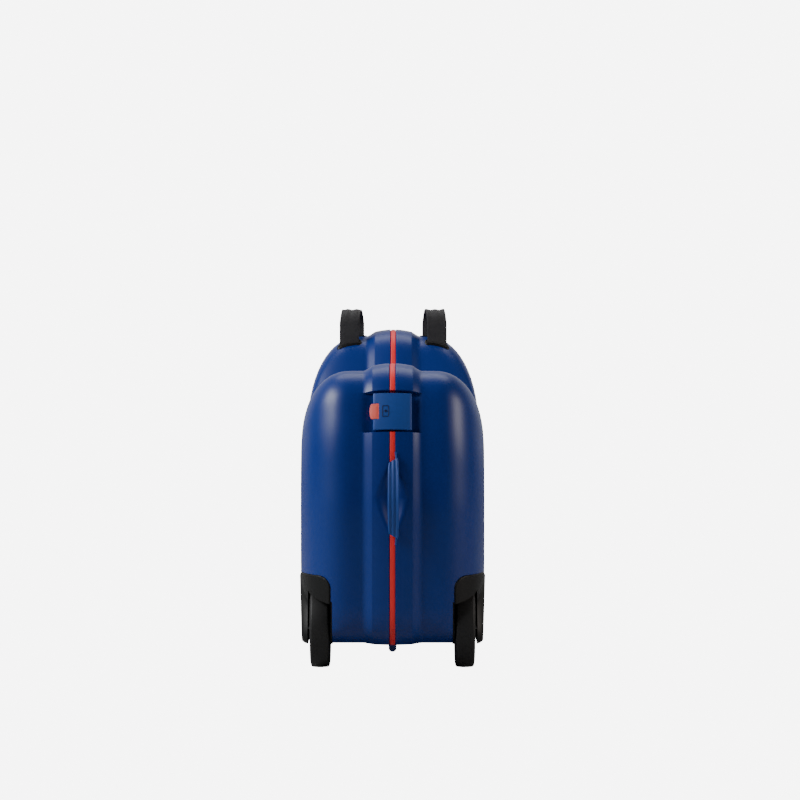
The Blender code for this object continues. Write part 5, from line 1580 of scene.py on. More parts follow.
@dataclass
class Latch:
    """Latch on an end face: an arched plate on a pin, with a coral button on its left edge.

    Attributes:
        form: The case's form.
        end: The end that it is on.
    """

    form: CaseForm
    end: End
    width: float = 43 * MM
    thickness: float = 2.2 * MM
    gap_top: float = 1.2 * MM
    gap_bottom: float = 0.7 * MM
    chamfer: float = 1.3 * MM
    skirt: float = 2 * MM
    skirt_inset: float = 0.4 * MM
    skirt_floor: float = 1.6 * MM
    button_height: float = 17.4 * MM
    button_length: float = 10.4 * MM
    button_rounding: float = 0.7 * MM
    overhang: float = 3.9 * MM
    button_floor: float = 2.8 * MM
    travel: float = 3 * MM
    pin_inset: float = 2.4 * MM
    pin_rise: float = 2.6 * MM
    barrel_radius: float = 1.5 * MM
    barrel_half: float = 9.7 * MM
    mark_middle: float = -7.6 * MM
    mark_rise: float = 0.35 * MM
    mark_depth: float = 0.4 * MM
    mark_band: float = 0.7 * MM
    mark_ease: float = 0.15 * MM
    notch_fill: float = 1.012

    def __post_init__(self) -> None:
        """Places the latch's axes in the middle of its notch."""
        low, high = self.form.latch_span(self.end)
        self.face = FaceFrame(self.form, (low + high) / 2, self.end)
        self.half = (self.form.latch_high - self.form.latch_low) / 2 * self.notch_fill
        self.body = f"{self.end}_latch"

    def top(self, x: Array) -> Array:
        """Height of the plate's outer face, the rib's arch carried on: h - a (x / c) squared."""
        form = self.form
        return form.rib_height - form.rib_arch * (np.asarray(x) / form.rib_crease) ** 2

    def plate(self) -> None:
        """Arched plate with chamfered sides and end skirts, cut out for the button."""
        half_width, c = self.width / 2, self.chamfer
        high, low = self.half - self.gap_top, -self.half + self.gap_bottom
        x = np.linspace(-half_width + c, half_width - c, 25)
        edge = self.top(half_width)
        over, under = (np.column_stack([x, self.top(x) - depth]) for depth in (0, self.thickness))
        right = np.array([(half_width - 0.35 * c, edge - 0.12 * c), (half_width, edge - 0.75 * c),
                          (half_width, edge - self.thickness)])
        outline = np.concatenate([over, right, under[::-1], right[::-1] * (-1, 1)])[::-1]
        piece = solid(f"latch_plate_{self.end}", self.face.bar(outline, low, high, 0.35 * MM))
        start, end = -half_width + 0.5 * MM, half_width - self.pin_inset - 4.4 * MM
        line = np.linspace(start, end, 15)
        skirt = np.concatenate([np.column_stack([line, self.top(line) - MM]),
                                [(end, self.skirt_floor), (start, self.skirt_floor)]])
        spans = (low + self.skirt_inset, low + self.skirt), (high - self.skirt, high - self.skirt_inset)
        combine(piece, [solid("skirt", self.face.world(copies(skirt, span, 1))) for span in spans], "UNION")
        slot_in = -half_width + self.button_length - self.overhang - 0.2 * MM
        slot_out = -half_width - 4 * MM
        slot = rounded_box((slot_in - slot_out) / 2, self.button_height / 2 + 0.35 * MM, 1.2 * MM)
        loops = copies(slot + ((slot_in + slot_out) / 2, 0), (self.button_floor - 0.1 * MM, 12 * MM), 2)
        combine(piece, [solid("slot", self.face.world(loops))], "DIFFERENCE")
        dress(piece, BLUE_TRIM, self.body, f"latch_flap_{self.end}")

    def barrel(self) -> None:
        """Hinge barrel of the plate and the web that carries it."""
        x, half, rise = self.width / 2 - self.pin_inset, self.barrel_half, self.pin_rise
        under = self.top(x) - MM
        web = np.array([(x - MM, rise + MM), (x + MM, rise + MM), (x + MM, under), (x - MM, under)])
        round_line = arc((x, rise), self.barrel_radius, 0, 360, 25)[:-1]
        piece = solid(f"latch_barrel_{self.end}", self.face.bar(round_line, -half, half, 0.3 * MM),
                      self.face.bar(web, -half + 0.2 * MM, half - 0.2 * MM, 0.2 * MM))
        dress(piece, BLUE_TRIM, self.body)

    def marks(self) -> None:
        """A small raised frame beside the button, with an arrow that points to it, both dark blue as painted
        shade.
        """
        rise, sunk, band, eased = self.mark_rise, -self.mark_depth, self.mark_band, self.mark_ease
        line = rounded_box(3.7 * MM, 6.4 * MM, 1.1 * MM)
        rows = [inset(line, d) + (self.mark_middle, 0) for d in (0, eased, band - eased, band)]
        lifts = [rise - 0.2 * MM, rise, rise, rise - 0.2 * MM] + [sunk] * 4
        loops = np.array([np.column_stack([row, self.top(row[:, 0]) + lift])
                          for row, lift in zip(rows + rows[::-1], lifts)])
        draft = Draft().add(*ring(self.face.world(loops)))
        arrow = np.array([(-1.9, 0), (0.4, -2.1), (0.4, -0.8), (1.9, -0.8), (1.9, 0.8), (0.4, 0.8),
                          (0.4, 2.1)])
        loops = slab(arrow * MM, sunk, rise, 0.15 * MM, 0.05 * MM) + (self.mark_middle, 0, 0)
        loops[..., 2] += self.top(loops[..., 0])
        draft.add(*tube(self.face.world(loops)))
        dress(draft.build(f"press_mark_{self.end}"), SHADED_MARK_BLUE, self.body)

    def button(self) -> None:
        """Button with a bulged outer side and a crowned top. Its stem runs in the plate's slot, and
        its head is longer and slides over the plate, so that the slot stays covered."""
        outer, half = -self.width / 2 - self.overhang, self.button_height / 2
        stem_length = self.button_length - self.travel - 0.5 * MM
        head = self.outline(outer, self.button_length, half)
        stem = self.outline(outer + 0.06 * MM, stem_length, half - 0.06 * MM)
        stacks = []
        for outline, low, over in ((head, None, 0.0), (stem, self.button_floor, -0.5 * MM)):
            loops = slab(outline, 0, MM, 0.0, 0.0, 5)
            x, v, share = np.moveaxis(loops, -1, 0)
            under = self.top(x) + 0.1 * MM if low is None else low
            crown = self.top(x) + 0.85 * MM - 0.45 * MM * ease(0.7, 1.0, (x - outer) / self.button_length)
            crown = crown - 0.45 * MM * (v / half) ** 2 + over
            loops[..., 2] = np.where(share > 0, crown, under)
            stacks.append(self.face.world(self.eased(loops, crown - under)))
        rail = slab(rounded_box(1.5 * MM, half + 1.8 * MM, 0.4 * MM), self.button_floor,
                    self.button_floor + 1.3 * MM, 0.2 * MM)
        stacks.append(self.face.world(rail + (outer + stem_length - 1.5 * MM, 0, 0)))
        piece = solid(f"push_button_{self.end}", *stacks)
        dress(piece, CORAL_BUTTON, f"{self.end}_button", f"latch_button_{self.end}")

    def eased(self, loops: Array, tall: Array) -> Array:
        """Draws the upper loops of a slab in as a quarter circle, or as a smaller one where the
        slab is low, so that its top edge is round.

        Args:
            loops: The slab's loops, which are changed.
            tall: Height of the slab at each point.

        Returns:
            The same loops.
        """
        radius = np.minimum(self.button_rounding, 0.9 * tall)
        centre = loops[7].mean(axis=0)
        for row, angle in zip((4, 5, 6, 7), np.radians([0, 30, 60, 90])):
            inward = unit(loops[row, :, :2] - centre[:2])
            loops[row, :, :2] -= inward * (radius[row] * (1 - math.cos(angle)))[:, None]
            loops[row, :, 2] = loops[7, :, 2] - radius[row] * (1 - math.sin(angle))
        for row in range(8, len(loops)):
            share = 1 - (row - 7) / (len(loops) - 7)
            loops[row, :, :2] = centre[:2] + (loops[7, :, :2] - centre[:2]) * share
        return loops

    @staticmethod
    def outline(outer: float, length: float, half: float) -> Array:
        """Outline of the button from above: a bulged outer side with round corners, and small
        corners at the inner end.

        Args:
            outer: Place across of the outer side.
            length: Length across.
            half: Half of its height.

        Returns:
            The outline, anticlockwise.
        """
        r, bulge, small = 2.6 * MM, 0.9 * MM, 0.9 * MM
        v = np.linspace(half - r, -half + r, 9)
        side = np.column_stack([outer + bulge * (v / (half - r)) ** 2, v])
        inner = outer + length
        return np.concatenate([
            arc((outer + bulge + r, half - r), r, 90, 180, 7), side[1:-1],
            arc((outer + bulge + r, -half + r), r, 180, 270, 7),
            arc((inner - small, -half + small), small, 270, 360, 4),
            arc((inner - small, half - small), small, 0, 90, 4)])

    def build(self, frame: dict) -> None:
        """Builds plate and button, and dresses the pieces kept from the frame.
        """
        self.plate()
        self.barrel()
        self.marks()
        self.button()
        for node in ("latch_base", "latch_keeper"):
            dress_node(frame, f"{node}_{self.end}", BLUE_TRIM)
        for node in ("latch_pin", "button_spring"):
            dress_node(frame, f"{node}_{self.end}", STEEL)


@dataclass
class GrabHandle:
    """Bowed grab handle over the finger scoop, with a fin along the seam.

    Attributes:
        form: The case's form.
        end: The end that it is on.
    """

    form: CaseForm
    end: End
    half_height: float = 51.5 * MM
    body_half: float = 42 * MM
    left: float = -5.1 * MM
    right: float = 7.1 * MM
    rise: float = 11 * MM
    thickness: float = 6 * MM
    shoulder: float = 10 * MM
    groove: float = 0.5 * MM
    fin_width: float = 1.9 * MM
    squareness: float = 0.42
    bow_power: float = 1.7
    foot_place: float = 37.5 * MM
    foot_across: float = 5.3 * MM

    def __post_init__(self) -> None:
        """Places the handle's axes at its centre height."""
        reach = self.form.reach_at_height(self.form.handle_centre, self.end)
        self.face = FaceFrame(self.form, reach, self.end)
        self.hollow = self.body_half - self.shoulder

    def top(self, v: Array) -> Array:
        """Outer height of the bow: 1 less the share of the half height to the power 1.7, which
        leaves a soft ridge in the middle."""
        share = np.abs(np.asarray(v) / self.half_height)
        return self.form.rib_height + MM + self.rise * (1 - share ** self.bow_power)

    def under(self, v: Array, seat: float) -> Array:
        """Height of the underside: half an ellipse between the handle's two feet.

        Args:
            v: Places along the handle.
            seat: Height of the feet.

        Returns:
            One height for each place.
        """
        arch = np.sqrt(np.clip(1 - (v / self.hollow) ** 2, 0, 1))
        return seat + (self.top(0) - self.thickness - seat) * arch

    @staticmethod
    def filled(under: Array, over: Array, share: Array) -> Array:
        """Heights of a section's points along the handle: the middle plus a share of half the depth.

        Args:
            under: Underside at each place along the handle.
            over: Outer side at each place along the handle.
            share: Height of each point of the section, from -1 to 1.

        Returns:
            One row for each place, one column for each point.
        """
        return ((over + under) / 2)[:, None] + ((over - under) / 2)[:, None] * share[None]

    def bow(self) -> Array:
        """Carries a rounded rectangle with two grooves in its top along the bow.

        Returns:
            Loops of the bow.
        """
        v = np.concatenate([np.linspace(-self.body_half, -self.hollow - 0.2 * MM, 10),
                            np.linspace(-self.hollow, self.hollow, 61),
                            np.linspace(self.hollow + 0.2 * MM, self.body_half, 10)])
        over, under = self.top(v), self.under(v, self.form.rib_height + 0.3 * MM)
        squeeze = 1 - 0.1 * (1 - ease(0, 6 * MM, self.body_half - np.abs(v)))
        bulge = 0.55 * MM * (1 - (v / self.body_half) ** 2)
        middle, half = (self.left + self.right) / 2, (self.right - self.left) / 2
        angle = 2 * np.pi * np.arange(64) / 64
        u, w = power(np.cos(angle), self.squareness), power(np.sin(angle), self.squareness)
        groove = self.groove * np.where(w > 0, np.cos(2 * np.pi * u / 0.8) - 1, 0) * ease(1.0, 0.7, np.abs(u))
        lean = 0.6 * ease(self.body_half - 16 * MM, self.body_half, np.abs(v)) * np.sign(v)
        x = middle + (half + bulge[:, None] - 0.5 * MM) * u[None] * squeeze[:, None]
        y = v[:, None] + lean[:, None] * (x - middle)
        return self.face.world(gridded(x, y, self.filled(under, over, w) + groove[None]))

    def fin(self) -> Array:
        """Carries the fin's section along the bow and beyond both its ends, as a thin blade.

        Returns:
            Loops of the fin.
        """
        seat = self.form.rib_height + 0.2 * MM
        v = np.linspace(-self.half_height, self.half_height, 81)
        share = np.abs(v) / self.half_height
        over = np.maximum(self.top(v) + 0.1 * MM - 1.3 * MM * ease(0.6, 1.0, share), seat + 0.4 * MM)
        under = self.under(v, seat)
        right = self.right + 0.15 * MM - 2.6 * MM * ease(0.55, 1.0, share)
        u, w = rounded_box(1, 1, 0.5).T
        half = self.fin_width / 2
        x = (right - half)[:, None] + half * u[None]
        return self.face.world(gridded(x, v[:, None], self.filled(under, over, w)))

    def build(self) -> None:
        """Builds the handle as one piece, with two feet that reach into the shell."""
        height = self.form.rib_height
        foot = slab(rounded_box(1.5 * MM, 4 * MM, 0.4 * MM), height - 4.5 * MM, height + 2 * MM, 0.2 * MM)
        feet = [self.face.world(foot + (self.foot_across, v, 0)) for v in (-self.foot_place, self.foot_place)]
        piece = solid(f"grab_bow_{self.end}", self.bow(), self.fin(), *feet, sharp=40)
        dress(piece, BLUE_TRIM, "right_half", f"grab_handle_{self.end}")


@dataclass
class WebbingLoop:
    """Webbing loop on the front hump, with moulded frames round its slots.

    Attributes:
        form: The case's form.
        hand: The side.
    """

    form: CaseForm
    hand: Hand
    place_x: float = 51 * MM
    twist: float = 3 * MM
    width: float = 24 * MM
    thickness: float = 2.2 * MM
    place_y: float = 107 * MM
    span: float = 34 * MM
    top: float = 409 * MM
    depth: float = 11 * MM
    rim: float = 3.2 * MM
    rim_rise: float = 2.0 * MM
    hump_start: float = 250 * MM
    hump_length: float = 320 * MM

    def legs(self) -> tuple[tuple[float, float], tuple[float, float]]:
        """Middle of the near and the far leg on the right side, as x and y."""
        near, far = self.place_y - self.span / 2, self.place_y + self.span / 2
        return (self.place_x + self.twist, near), (self.place_x - self.twist, far)

    def crown(self, x: Array, y: Array) -> Array:
        """Height of the case under points of the front hump, read from the form's own grid: the
        point of the grid that is nearest in x and y, moved along the slope there.

        Args:
            x: Places across.
            y: Places along the case.

        Returns:
            One height for each place.
        """
        end = self.form.reach_at_height(self.hump_start, End.FRONT)
        ribs = np.array([self.form.rim_gap, self.form.rib_foot])
        grid, normals = self.form.surface(np.linspace(end - self.hump_length, end, 500), ribs,
                                          np.arange(2, 91, 2.0))
        flat, ways = grid.reshape(-1, 3), normals.reshape(-1, 3)
        keep = (ways[:, 2] > 0.25) & (flat[:, 2] > 0.3)
        flat, ways = flat[keep], ways[keep]
        x, y = np.broadcast_arrays(x, y)
        wanted = np.column_stack([x.ravel(), y.ravel()])
        nearest = np.argmin(np.linalg.norm(flat[None, :, :2] - wanted[:, None], axis=2), axis=1)
        base, way = flat[nearest], ways[nearest]
        slope = ((wanted - base[:, :2]) * way[:, :2]).sum(axis=1) / way[:, 2]
        return (base[:, 2] - slope).reshape(x.shape)

    def section(self) -> Array:
        """Draws the strap's section: a flat rectangle with rounded edges.

        Returns:
            Its outline, with points spread over both flat sides.
        """
        rise = 0.8 * self.thickness / 2
        outline = rounded_box(self.width / 2, rise, 0.75 * MM, 5)
        upper = np.array([(x, rise) for x in np.linspace(1, -1, 15)[1:-1] * (self.width / 2 - 0.8 * MM)])
        side = len(outline) // 4
        return np.concatenate([outline[3 * side:], outline[:side], upper, outline[side:3 * side],
                               upper[::-1] * (1, -1)])

    def path(self) -> Array:
        """Walks up the near leg, over half a circle and down the far leg.

        Returns:
            x, y, z and the angle turned at each point.
        """
        (x0, y0), (x1, y1) = self.legs()
        radius = self.span / 2
        bend = self.top - self.thickness / 2 - radius
        low = [float(self.crown(np.array(x), np.array(y))) - self.depth for x, y in self.legs()]
        share = np.linspace(0, 1, 33)
        turn = np.pi * share
        up = [(x0, y0, z, 0) for z in np.linspace(low[0], bend, 13)[:-1]]
        over = np.column_stack([x0 + (x1 - x0) * share, self.place_y - radius * np.cos(turn),
                                bend + radius * np.sin(turn), turn])
        down = [(x1, y1, z, np.pi) for z in np.linspace(bend, low[1], 13)[1:]]
        return np.concatenate([up, over, down])

    def strap(self) -> None:
        """Carries the section along the path, with a wave across it at the bend and a slow one
        along it, which both fade out towards the slots."""
        path, section = self.path(), self.section()
        along, angle = steps(path[:, :3]), path[:, 3]
        out = np.column_stack([np.zeros(len(path)), -np.cos(angle), np.sin(angle)])
        ripple = 0.55 * MM * np.sin(section[:, 0] / self.width * 4.6 * np.pi + 1.3 * self.hand.value)
        wave = ripple[None] * ease(0, 1, np.sin(angle))[:, None]
        wave = wave + 0.35 * MM * np.sin(along[:, None] / (13 * MM) + section[None, :, 0] / (9 * MM))
        wave = wave * ease(0, 12 * MM, np.minimum(along, along[-1] - along))[:, None]
        loops = path[:, None, :3] + section[None, :, :1] * (1, 0, 0)
        loops = loops + out[:, None] * (section[None, :, 1:] + wave[..., None]) - (0, 0, 0.6 * MM)
        draft = Draft().add(*tube(loops * (self.hand.value, 1, 1)), cloth_map(along, steps(section)))
        piece = draft.build(f"webbing_loop_{self.hand}", 60)
        dress(piece, WEBBING, f"{self.hand}_half", f"webbing_handle_{self.hand}")

    def plate(self) -> None:
        """Moulded frames round the two slots: each a rounded rectangle laid on the case, with a
        bead whose height is a half circle over its width."""
        draft = Draft()
        turn = np.radians(np.linspace(0, 180, 11))
        half_y = self.thickness / 2 + self.rim
        border = closed(rounded_box(self.width / 2 + self.rim, half_y, half_y * 0.9, 10))
        walk = steps(border)
        line = between(np.linspace(0, walk[-1], 97)[:-1], walk, border)
        for middle, rise in zip(self.legs(), (self.rim_rise, 0.6 * self.rim_rise)):
            loops = []
            levels = [(0.0, -MM), *zip((1 - np.cos(turn)) / 2, np.sin(turn) * rise), (1.0, -MM)]
            for share, lift in levels:
                x, y = (inset(line, share * (self.rim - 0.5 * MM)) + middle).T
                loops.append(np.column_stack([x, y, self.crown(x, y) + lift]))
            draft.add(*ring(np.array(loops) * (self.hand.value, 1, 1)))
        piece = draft.build(f"webbing_plate_{self.hand}", 40)
        dress(piece, BLACK_TRIM, f"{self.hand}_half", f"webbing_bezel_{self.hand}")

    def build(self, frame: dict) -> None:
        """Builds strap and plate, and dresses the block that holds the strap inside.
        """
        self.strap()
        self.plate()
        dress_node(frame, f"webbing_anchor_{self.hand}", BLACK_TRIM)


@dataclass
class Caster:
    """Front caster: a fork that swivels in its socket, with a rubber tyred wheel.

    Attributes:
        hand: The side.
    """

    hand: Hand
    leg: float = 2.6 * MM
    boss: float = 6 * MM
    crown_low: float = 42.4 * MM
    crown_high: float = 47.4 * MM
    crown_radius: float = 14 * MM
    crown_edge: float = 0.8 * MM
    stem_radius: float = 4 * MM
    shoulder: float = 2.6 * MM

    def __post_init__(self) -> None:
        """Reads the wheel's place and sizes from the frame."""
        self.centre, size = placed(f"caster_tyre_{self.hand}")
        self.radius, self.width = size[2] / 2, size[0]
        self.swivel = placed(f"caster_clip_{self.hand}")[0] * (1, 1, 0)
        self.hub_radius = placed(f"caster_hub_{self.hand}")[1][2] / 2
        low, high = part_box(f"caster_axle_{self.hand}")
        self.axle_radius, self.span = (high.z - low.z) / 2, (low.x, high.x)
        self.stem_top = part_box(f"caster_fork_{self.hand}")[1].z

    def wheel(self) -> None:
        """Tyre with a crowned tread and round shoulders, and a hub with dished faces."""
        half, rim, bore = self.width / 2, self.hub_radius, self.axle_radius + 0.2 * MM
        side = [(rim + 0.1 * MM, half - 0.2 * MM)]
        profile = tread(self.radius, half - self.shoulder, 0.35 * MM, self.shoulder, 1, 85, 9, side)
        piece = turned(f"caster_tread_{self.hand}", profile, 96, self.centre)
        dress(piece, RUBBER, f"caster_wheel_{self.hand}", f"caster_tyre_{self.hand}")
        side = [(bore, half - 0.1 * MM), (4.6 * MM, half - 0.1 * MM), (5 * MM, half - 0.6 * MM),
                (5.4 * MM, 3.2 * MM), (rim - 3 * MM, 3.2 * MM), (rim - 2.2 * MM, half - 1.6 * MM),
                (rim - 1.6 * MM, half - MM), (rim, half - MM)]
        profile = np.array([(r, -h) for r, h in side] + side[::-1])
        piece = turned(f"caster_core_{self.hand}", profile, 72, self.centre)
        dress(piece, BLACK_TRIM, f"caster_wheel_{self.hand}", f"caster_hub_{self.hand}")

    def fork(self) -> None:
        """Fork: a turned crown and stem, and two legs that taper to round bosses."""
        stem, top, radius, e = self.stem_radius, self.stem_top, self.crown_radius, self.crown_edge
        low, high = self.crown_low, self.crown_high
        profile = np.array([
            (0.01 * MM, low), (radius - e, low), (radius - 0.3 * e, low + 0.3 * e), (radius, low + e),
            (radius, high - e), (radius - 0.3 * e, high - 0.3 * e), (radius - e, high), (stem + e, high),
            (stem, high + e), (stem, top - 0.6 * MM), (stem - 0.6 * MM, top), (0.01 * MM, top)])
        back, under = self.swivel[1], low + MM
        outline = np.concatenate([arc(self.centre[1:], self.boss, 165, 345, 24), [
            (back + 7 * MM, under - 5 * MM), (back + 7 * MM, under), (back - 11 * MM, under),
            (back - 13 * MM, under - 6 * MM)]])
        legs = [slab(outline, start, start + self.leg, 0.6 * MM)[..., [2, 0, 1]]
                for start in (self.span[0], self.span[1] - self.leg)]
        piece = solid(f"caster_yoke_{self.hand}", lathe(profile, 64, self.swivel, "Z"), *legs)
        dress(piece, BLACK_TRIM, f"caster_{self.hand}", f"caster_fork_{self.hand}")

    def build(self, frame: dict) -> None:
        """Builds wheel and fork, and dresses the pieces kept from the frame.
        """
        self.wheel()
        self.fork()
        dress_node(frame, f"caster_socket_{self.hand}", BLACK)
        for node in ("caster_clip", "caster_axle"):
            dress_node(frame, f"{node}_{self.hand}", STEEL)


@dataclass
class Packing:
    """Strap and buckle in the right half, and the gathered mesh pocket in the left half."""

    ripple: float = 0.5 * MM
    cloth: float = 0.8 * MM
    gathers: int = 26
    gather_rise: float = 1.1 * MM
    fullness: float = 1.12
    hem_middle: float = 0.94
    hem_half: float = 0.06
    hem_rise: float = 0.9 * MM
    tape_corner: float = 9 * MM
    tape_half: float = 3.2 * MM

    def strap(self) -> None:
        """Flat strap from anchor to anchor. It leaves the panel as a raised cosine towards the
        buckle, and its selvedges are rounded."""
        low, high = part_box("packing_strap")
        y = np.linspace(low.y, high.y, 141)
        middle, half = (low.z + high.z) / 2, (high.z - low.z) / 2
        rise = 2.2 * MM * (0.5 + 0.5 * np.cos(np.pi * y / high.y))
        x = (low.x + high.x) / 2 - rise + self.ripple * np.sin(y / (17 * MM)) * np.abs(y) / high.y
        section = rounded_box((high.x - low.x) / 2, half, 0.6 * MM, 4)
        loops = gridded(x[:, None] + section[None, :, 0], y[:, None], middle + section[None, :, 1])
        draft = Draft().add(*tube(loops), cloth_map(y - low.y, steps(section)))
        piece = draft.build("packing_belt", 60)
        dress(piece, WEBBING, "right_half", "packing_strap")

    def buckle(self) -> None:
        """Side release buckle: a hollow body, and a plug whose two arms bow out of its sides."""
        low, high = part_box("strap_buckle")
        centre, size = placed("strap_buckle")
        half, across = size / 2, size[1] / 2 * 0.58
        outline = rounded_box(across, half[2], 4 * MM, 8)
        outline[:, 1] *= 1 - 0.16 * ease(0.9, 0.3, np.abs(outline[:, 0]) / across)
        stacks = []
        for start, end, shift, scale in ((low.x + 0.6 * MM, high.x, -0.42, (1.0, 1.0)),
                                         (low.x, high.x - 1.2 * MM, 0.62, (0.8 * 0.62, 0.8))):
            loops = slab(outline * scale, start, end, 1.4 * MM, rings=3)
            stacks.append(loops[..., [2, 0, 1]] + (0, centre[1] + shift * half[1], centre[2]))
        section = rounded_box(2.2 * MM, 1.5 * MM, 0.7 * MM, 3)
        share = np.linspace(-0.3, 0.5, 15)
        for side in (-1, 1):
            bow = side * (half[2] * (0.78 + 0.16 * np.cos(np.pi * (share - 0.1) / 0.8)))
            arm = gridded(section[None, :, 0] - 0.4 * MM, share[:, None] * half[1],
                          bow[:, None] + section[None, :, 1])
            stacks.append(arm + centre)
        dress(solid("belt_buckle", *stacks), BLACK_TRIM, "right_half", "strap_buckle")

    def pocket(self) -> None:
        """Mesh pocket. Its bulge is the product of two quarter circles, and its gathers are a
        sine across that grows towards the elastic hem at the top. A tape is sewn round it."""
        low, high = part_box("side_pocket")
        across, up = 261, 41
        u, v = np.linspace(-1, 1, across), np.linspace(0, 1, up)
        span, tall = high.y - low.y, high.z - low.z
        side = quarter(1 - np.abs(u), 0.35)[None]
        foot = quarter(v, 0.5)[:, None]
        deep = (high.x - low.x - 3.2 * MM) * side * foot
        fold = self.gather_rise * np.sin(u * np.pi * self.gathers)[None] * ease(0.05, 1.0, v)[:, None] * side
        hem = self.hem_rise * quarter(1 - np.abs(v - self.hem_middle)[:, None] / self.hem_half, 1.0)
        x = low.x + self.cloth + 0.4 * MM + deep + fold + hem
        y = np.broadcast_to((low.y + high.y) / 2 + u * span / 2 * 0.985, x.shape)
        z = low.z + tall * (v[:, None] * (0.985 - 0.05 * (1 - u ** 2)[None]) + 0.006)
        outer = gridded(x, y, z)
        points, faces = sheet_solid(outer, outer - (self.cloth, 0, 0))
        cut = span * self.fullness
        one = gridded((u * cut / 2)[None], (v * tall)[:, None]).reshape(-1, 2) + cut
        piece = Draft().add(points, faces, np.concatenate([one, one])).build("mesh_pocket", 70)
        trim = self.binding(low, high)
        dress(piece, LINING, "left_half", "side_pocket")

    def binding(self, low: Vector, high: Vector) -> Object:
        """Sewn tape round the pocket's foot and sides: a flat rounded section along three edges.

        Args:
            low: Lowest corner of the pocket.
            high: Highest corner of the pocket.

        Returns:
            The tape, dressed.
        """
        corner, edge = self.tape_corner, self.tape_half
        y0, y1, z0, z1 = low.y + edge, high.y - edge, low.z + edge, high.z - MM
        line = np.concatenate([[(y0, z1)], arc((y0 + corner, z0 + corner), corner, 180, 270, 12),
                               arc((y1 - corner, z0 + corner), corner, 270, 360, 12), [(y1, z1)]])
        walk = steps(line)
        even = np.linspace(0, walk[-1], 160)
        line = between(even, walk, line)
        ahead = unit(np.gradient(line, axis=0))
        out = np.column_stack([ahead[:, 1], -ahead[:, 0]])
        section = rounded_box(edge, 0.7 * MM, 0.5 * MM, 3)
        y, z = (line[:, k, None] + out[:, k, None] * section[None, :, 0] for k in (0, 1))
        loops = gridded(low.x + 1.6 * MM + section[None, :, 1], y, z)
        draft = Draft().add(*tube(loops), cloth_map(even, steps(section)))
        piece = draft.build("pocket_binding", 60)
        return dress(piece, WEBBING, "left_half")

    def build(self, frame: dict) -> None:
        """Builds strap, buckle and pocket, and dresses the anchors.
        """
        self.strap()
        self.buckle()
        self.pocket()
        for node in ("strap_anchor_rear", "strap_anchor_front"):
            dress_node(frame, node, BLACK_TRIM)


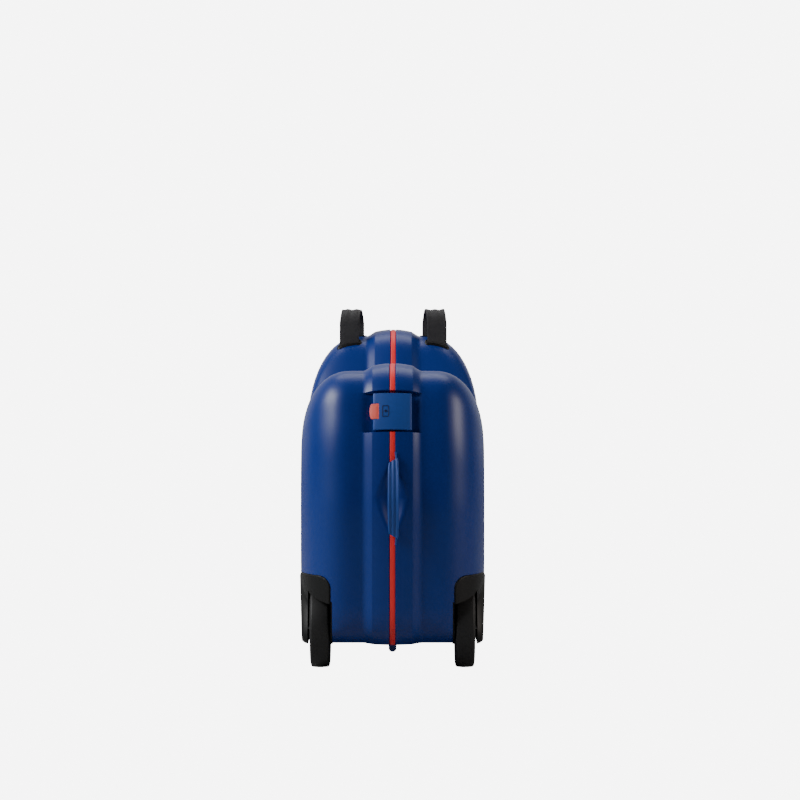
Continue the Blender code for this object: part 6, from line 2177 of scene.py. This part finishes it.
@dataclass
class Studio:
    """Floor, backdrop, soft lights and the camera at the photograph's place."""

    camera_place: tuple[float, float, float] = (8.4 * MM, -3.165, 0.36)
    lens: float = 118.9
    tilt_down: float = 1.128
    backdrop_light: float = 7.0
    wall_light: float = 0.9
    room_light: float = 0.01
    floor_reach: float = 12.0
    floor_colour: str = "ACACAC"
    aim: tuple[float, float, float] = (0, 0, 0.2)

    def camera(self) -> None:
        """Camera behind the case, looking along its length."""
        data = bpy.data.cameras.new("camera")
        data.lens = self.lens
        data.dof.use_dof = False
        camera = show("camera", data)
        camera.location = self.camera_place
        camera.rotation_euler = (math.radians(90 - self.tilt_down), 0, 0)
        bpy.context.scene.camera = camera

    def floor(self) -> None:
        """Pale floor that is far wider than the case. It sends light back onto the case. To the
        camera and to the lamps it is clear, so the pale backdrop shows through it, and the half
        that swings below it when the case stands open stays in view."""
        reach = self.floor_reach
        mesh = bpy.data.meshes.new("floor")
        corners = [(-reach, -reach, 0), (reach, -reach, 0), (reach, reach, 0), (-reach, reach, 0)]
        mesh.from_pydata(corners, [], [[0, 1, 2, 3]])
        floor = show("floor", mesh)
        material = bpy.data.materials.new("pale floor")
        material.use_nodes = True
        tree = material.node_tree
        shader = tree.nodes["Principled BSDF"]
        shader.inputs["Base Color"].default_value = linear(self.floor_colour)
        shader.inputs["Roughness"].default_value = 0.9
        path = add_node(tree, "ShaderNodeLightPath")
        clear = add_node(tree, "ShaderNodeBsdfTransparent")
        seen = add_node(tree, "ShaderNodeMath", {"operation": "MAXIMUM"}, {
            0: path.outputs["Is Camera Ray"], 1: path.outputs["Is Shadow Ray"]})
        choice = add_node(tree, "ShaderNodeMixShader", None, {
            0: seen.outputs[0], 1: shader.outputs[0], 2: clear.outputs[0]})
        tree.links.new(choice.outputs[0], tree.nodes["Material Output"].inputs["Surface"])
        mesh.materials.append(material)

    def softbox(self, name: str, place: tuple[float, float, float], size: tuple[float, float],
                power: float, colour: str = "FFFFFF") -> None:
        """A rectangular soft light that faces the middle of the case.

        Args:
            name: Its name.
            place: Where it stands.
            size: Its width and height.
            power: Its power in watts.
            colour: Its colour as sRGB hex.
        """
        data = bpy.data.lights.new(name, "AREA")
        data.shape = "RECTANGLE"
        data.size, data.size_y = size
        data.energy = power
        data.color = linear(colour)[:3]
        light = show(name, data)
        light.location = place
        light.rotation_euler = (Vector(self.aim) - Vector(place)).to_track_quat("-Z", "Y").to_euler()

    def world(self) -> None:
        """Bright surroundings for the camera, dimmer ones for the light on the case."""
        world = bpy.data.worlds.new("studio")
        bpy.context.scene.world = world
        world.use_nodes = True
        tree = world.node_tree
        tree.nodes.clear()
        path = add_node(tree, "ShaderNodeLightPath")
        way = add_node(tree, "ShaderNodeSeparateXYZ", None, {
            0: add_node(tree, "ShaderNodeTexCoord").outputs["Generated"]})
        fall = add_node(tree, "ShaderNodeMapRange", {
            "From Min": 0.5, "From Max": 1.0, "To Min": self.room_light, "To Max": self.wall_light},
            {"Value": way.outputs["Y"]})
        dim = add_node(tree, "ShaderNodeBackground", {"Color": linear("FFFFFF")},
                       {"Strength": fall.outputs["Result"]})
        bright = add_node(tree, "ShaderNodeBackground", {
            "Color": linear("FFFFFF"), "Strength": self.backdrop_light})
        mix = add_node(tree, "ShaderNodeMixShader", None, {
            0: path.outputs["Is Camera Ray"], 1: dim.outputs[0], 2: bright.outputs[0]})
        add_node(tree, "ShaderNodeOutputWorld", None, {"Surface": mix.outputs[0]})

    def build(self) -> None:
        """Builds the whole studio."""
        self.camera()
        self.floor()
        self.world()
        self.softbox("key light", (-1.95, -0.66, 1.55), (1.6, 0.85), 64)
        self.softbox("fill light", (2.0, -0.62, 1.0), (0.9, 0.8), 21, "FFF4EC")
        self.softbox("top light", (0, 0.85, 2.2), (2.0, 1.0), 20)


def main() -> None:
    """Builds the studio and every sub-assembly of the case in order."""
    logging.basicConfig(level=logging.INFO, format="%(name)s %(message)s")
    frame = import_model()
    Studio().build()
    form = CaseForm()
    for hand in Hand:
        corner = WheelCorner(form, hand)
        HalfShell(form, corner).build()
        corner.build()
        WebbingLoop(form, hand).build(frame)
    SealBand(form).build()
    Hinge(form).build()
    for end in End:
        Latch(form, end).build(frame)
        GrabHandle(form, end).build()
    for hand in Hand:
        dress_node(frame, f"rear_axle_{hand}", STEEL)
        Caster(hand).build(frame)
    Packing().build(frame)


if __name__ == "__main__":
    main()
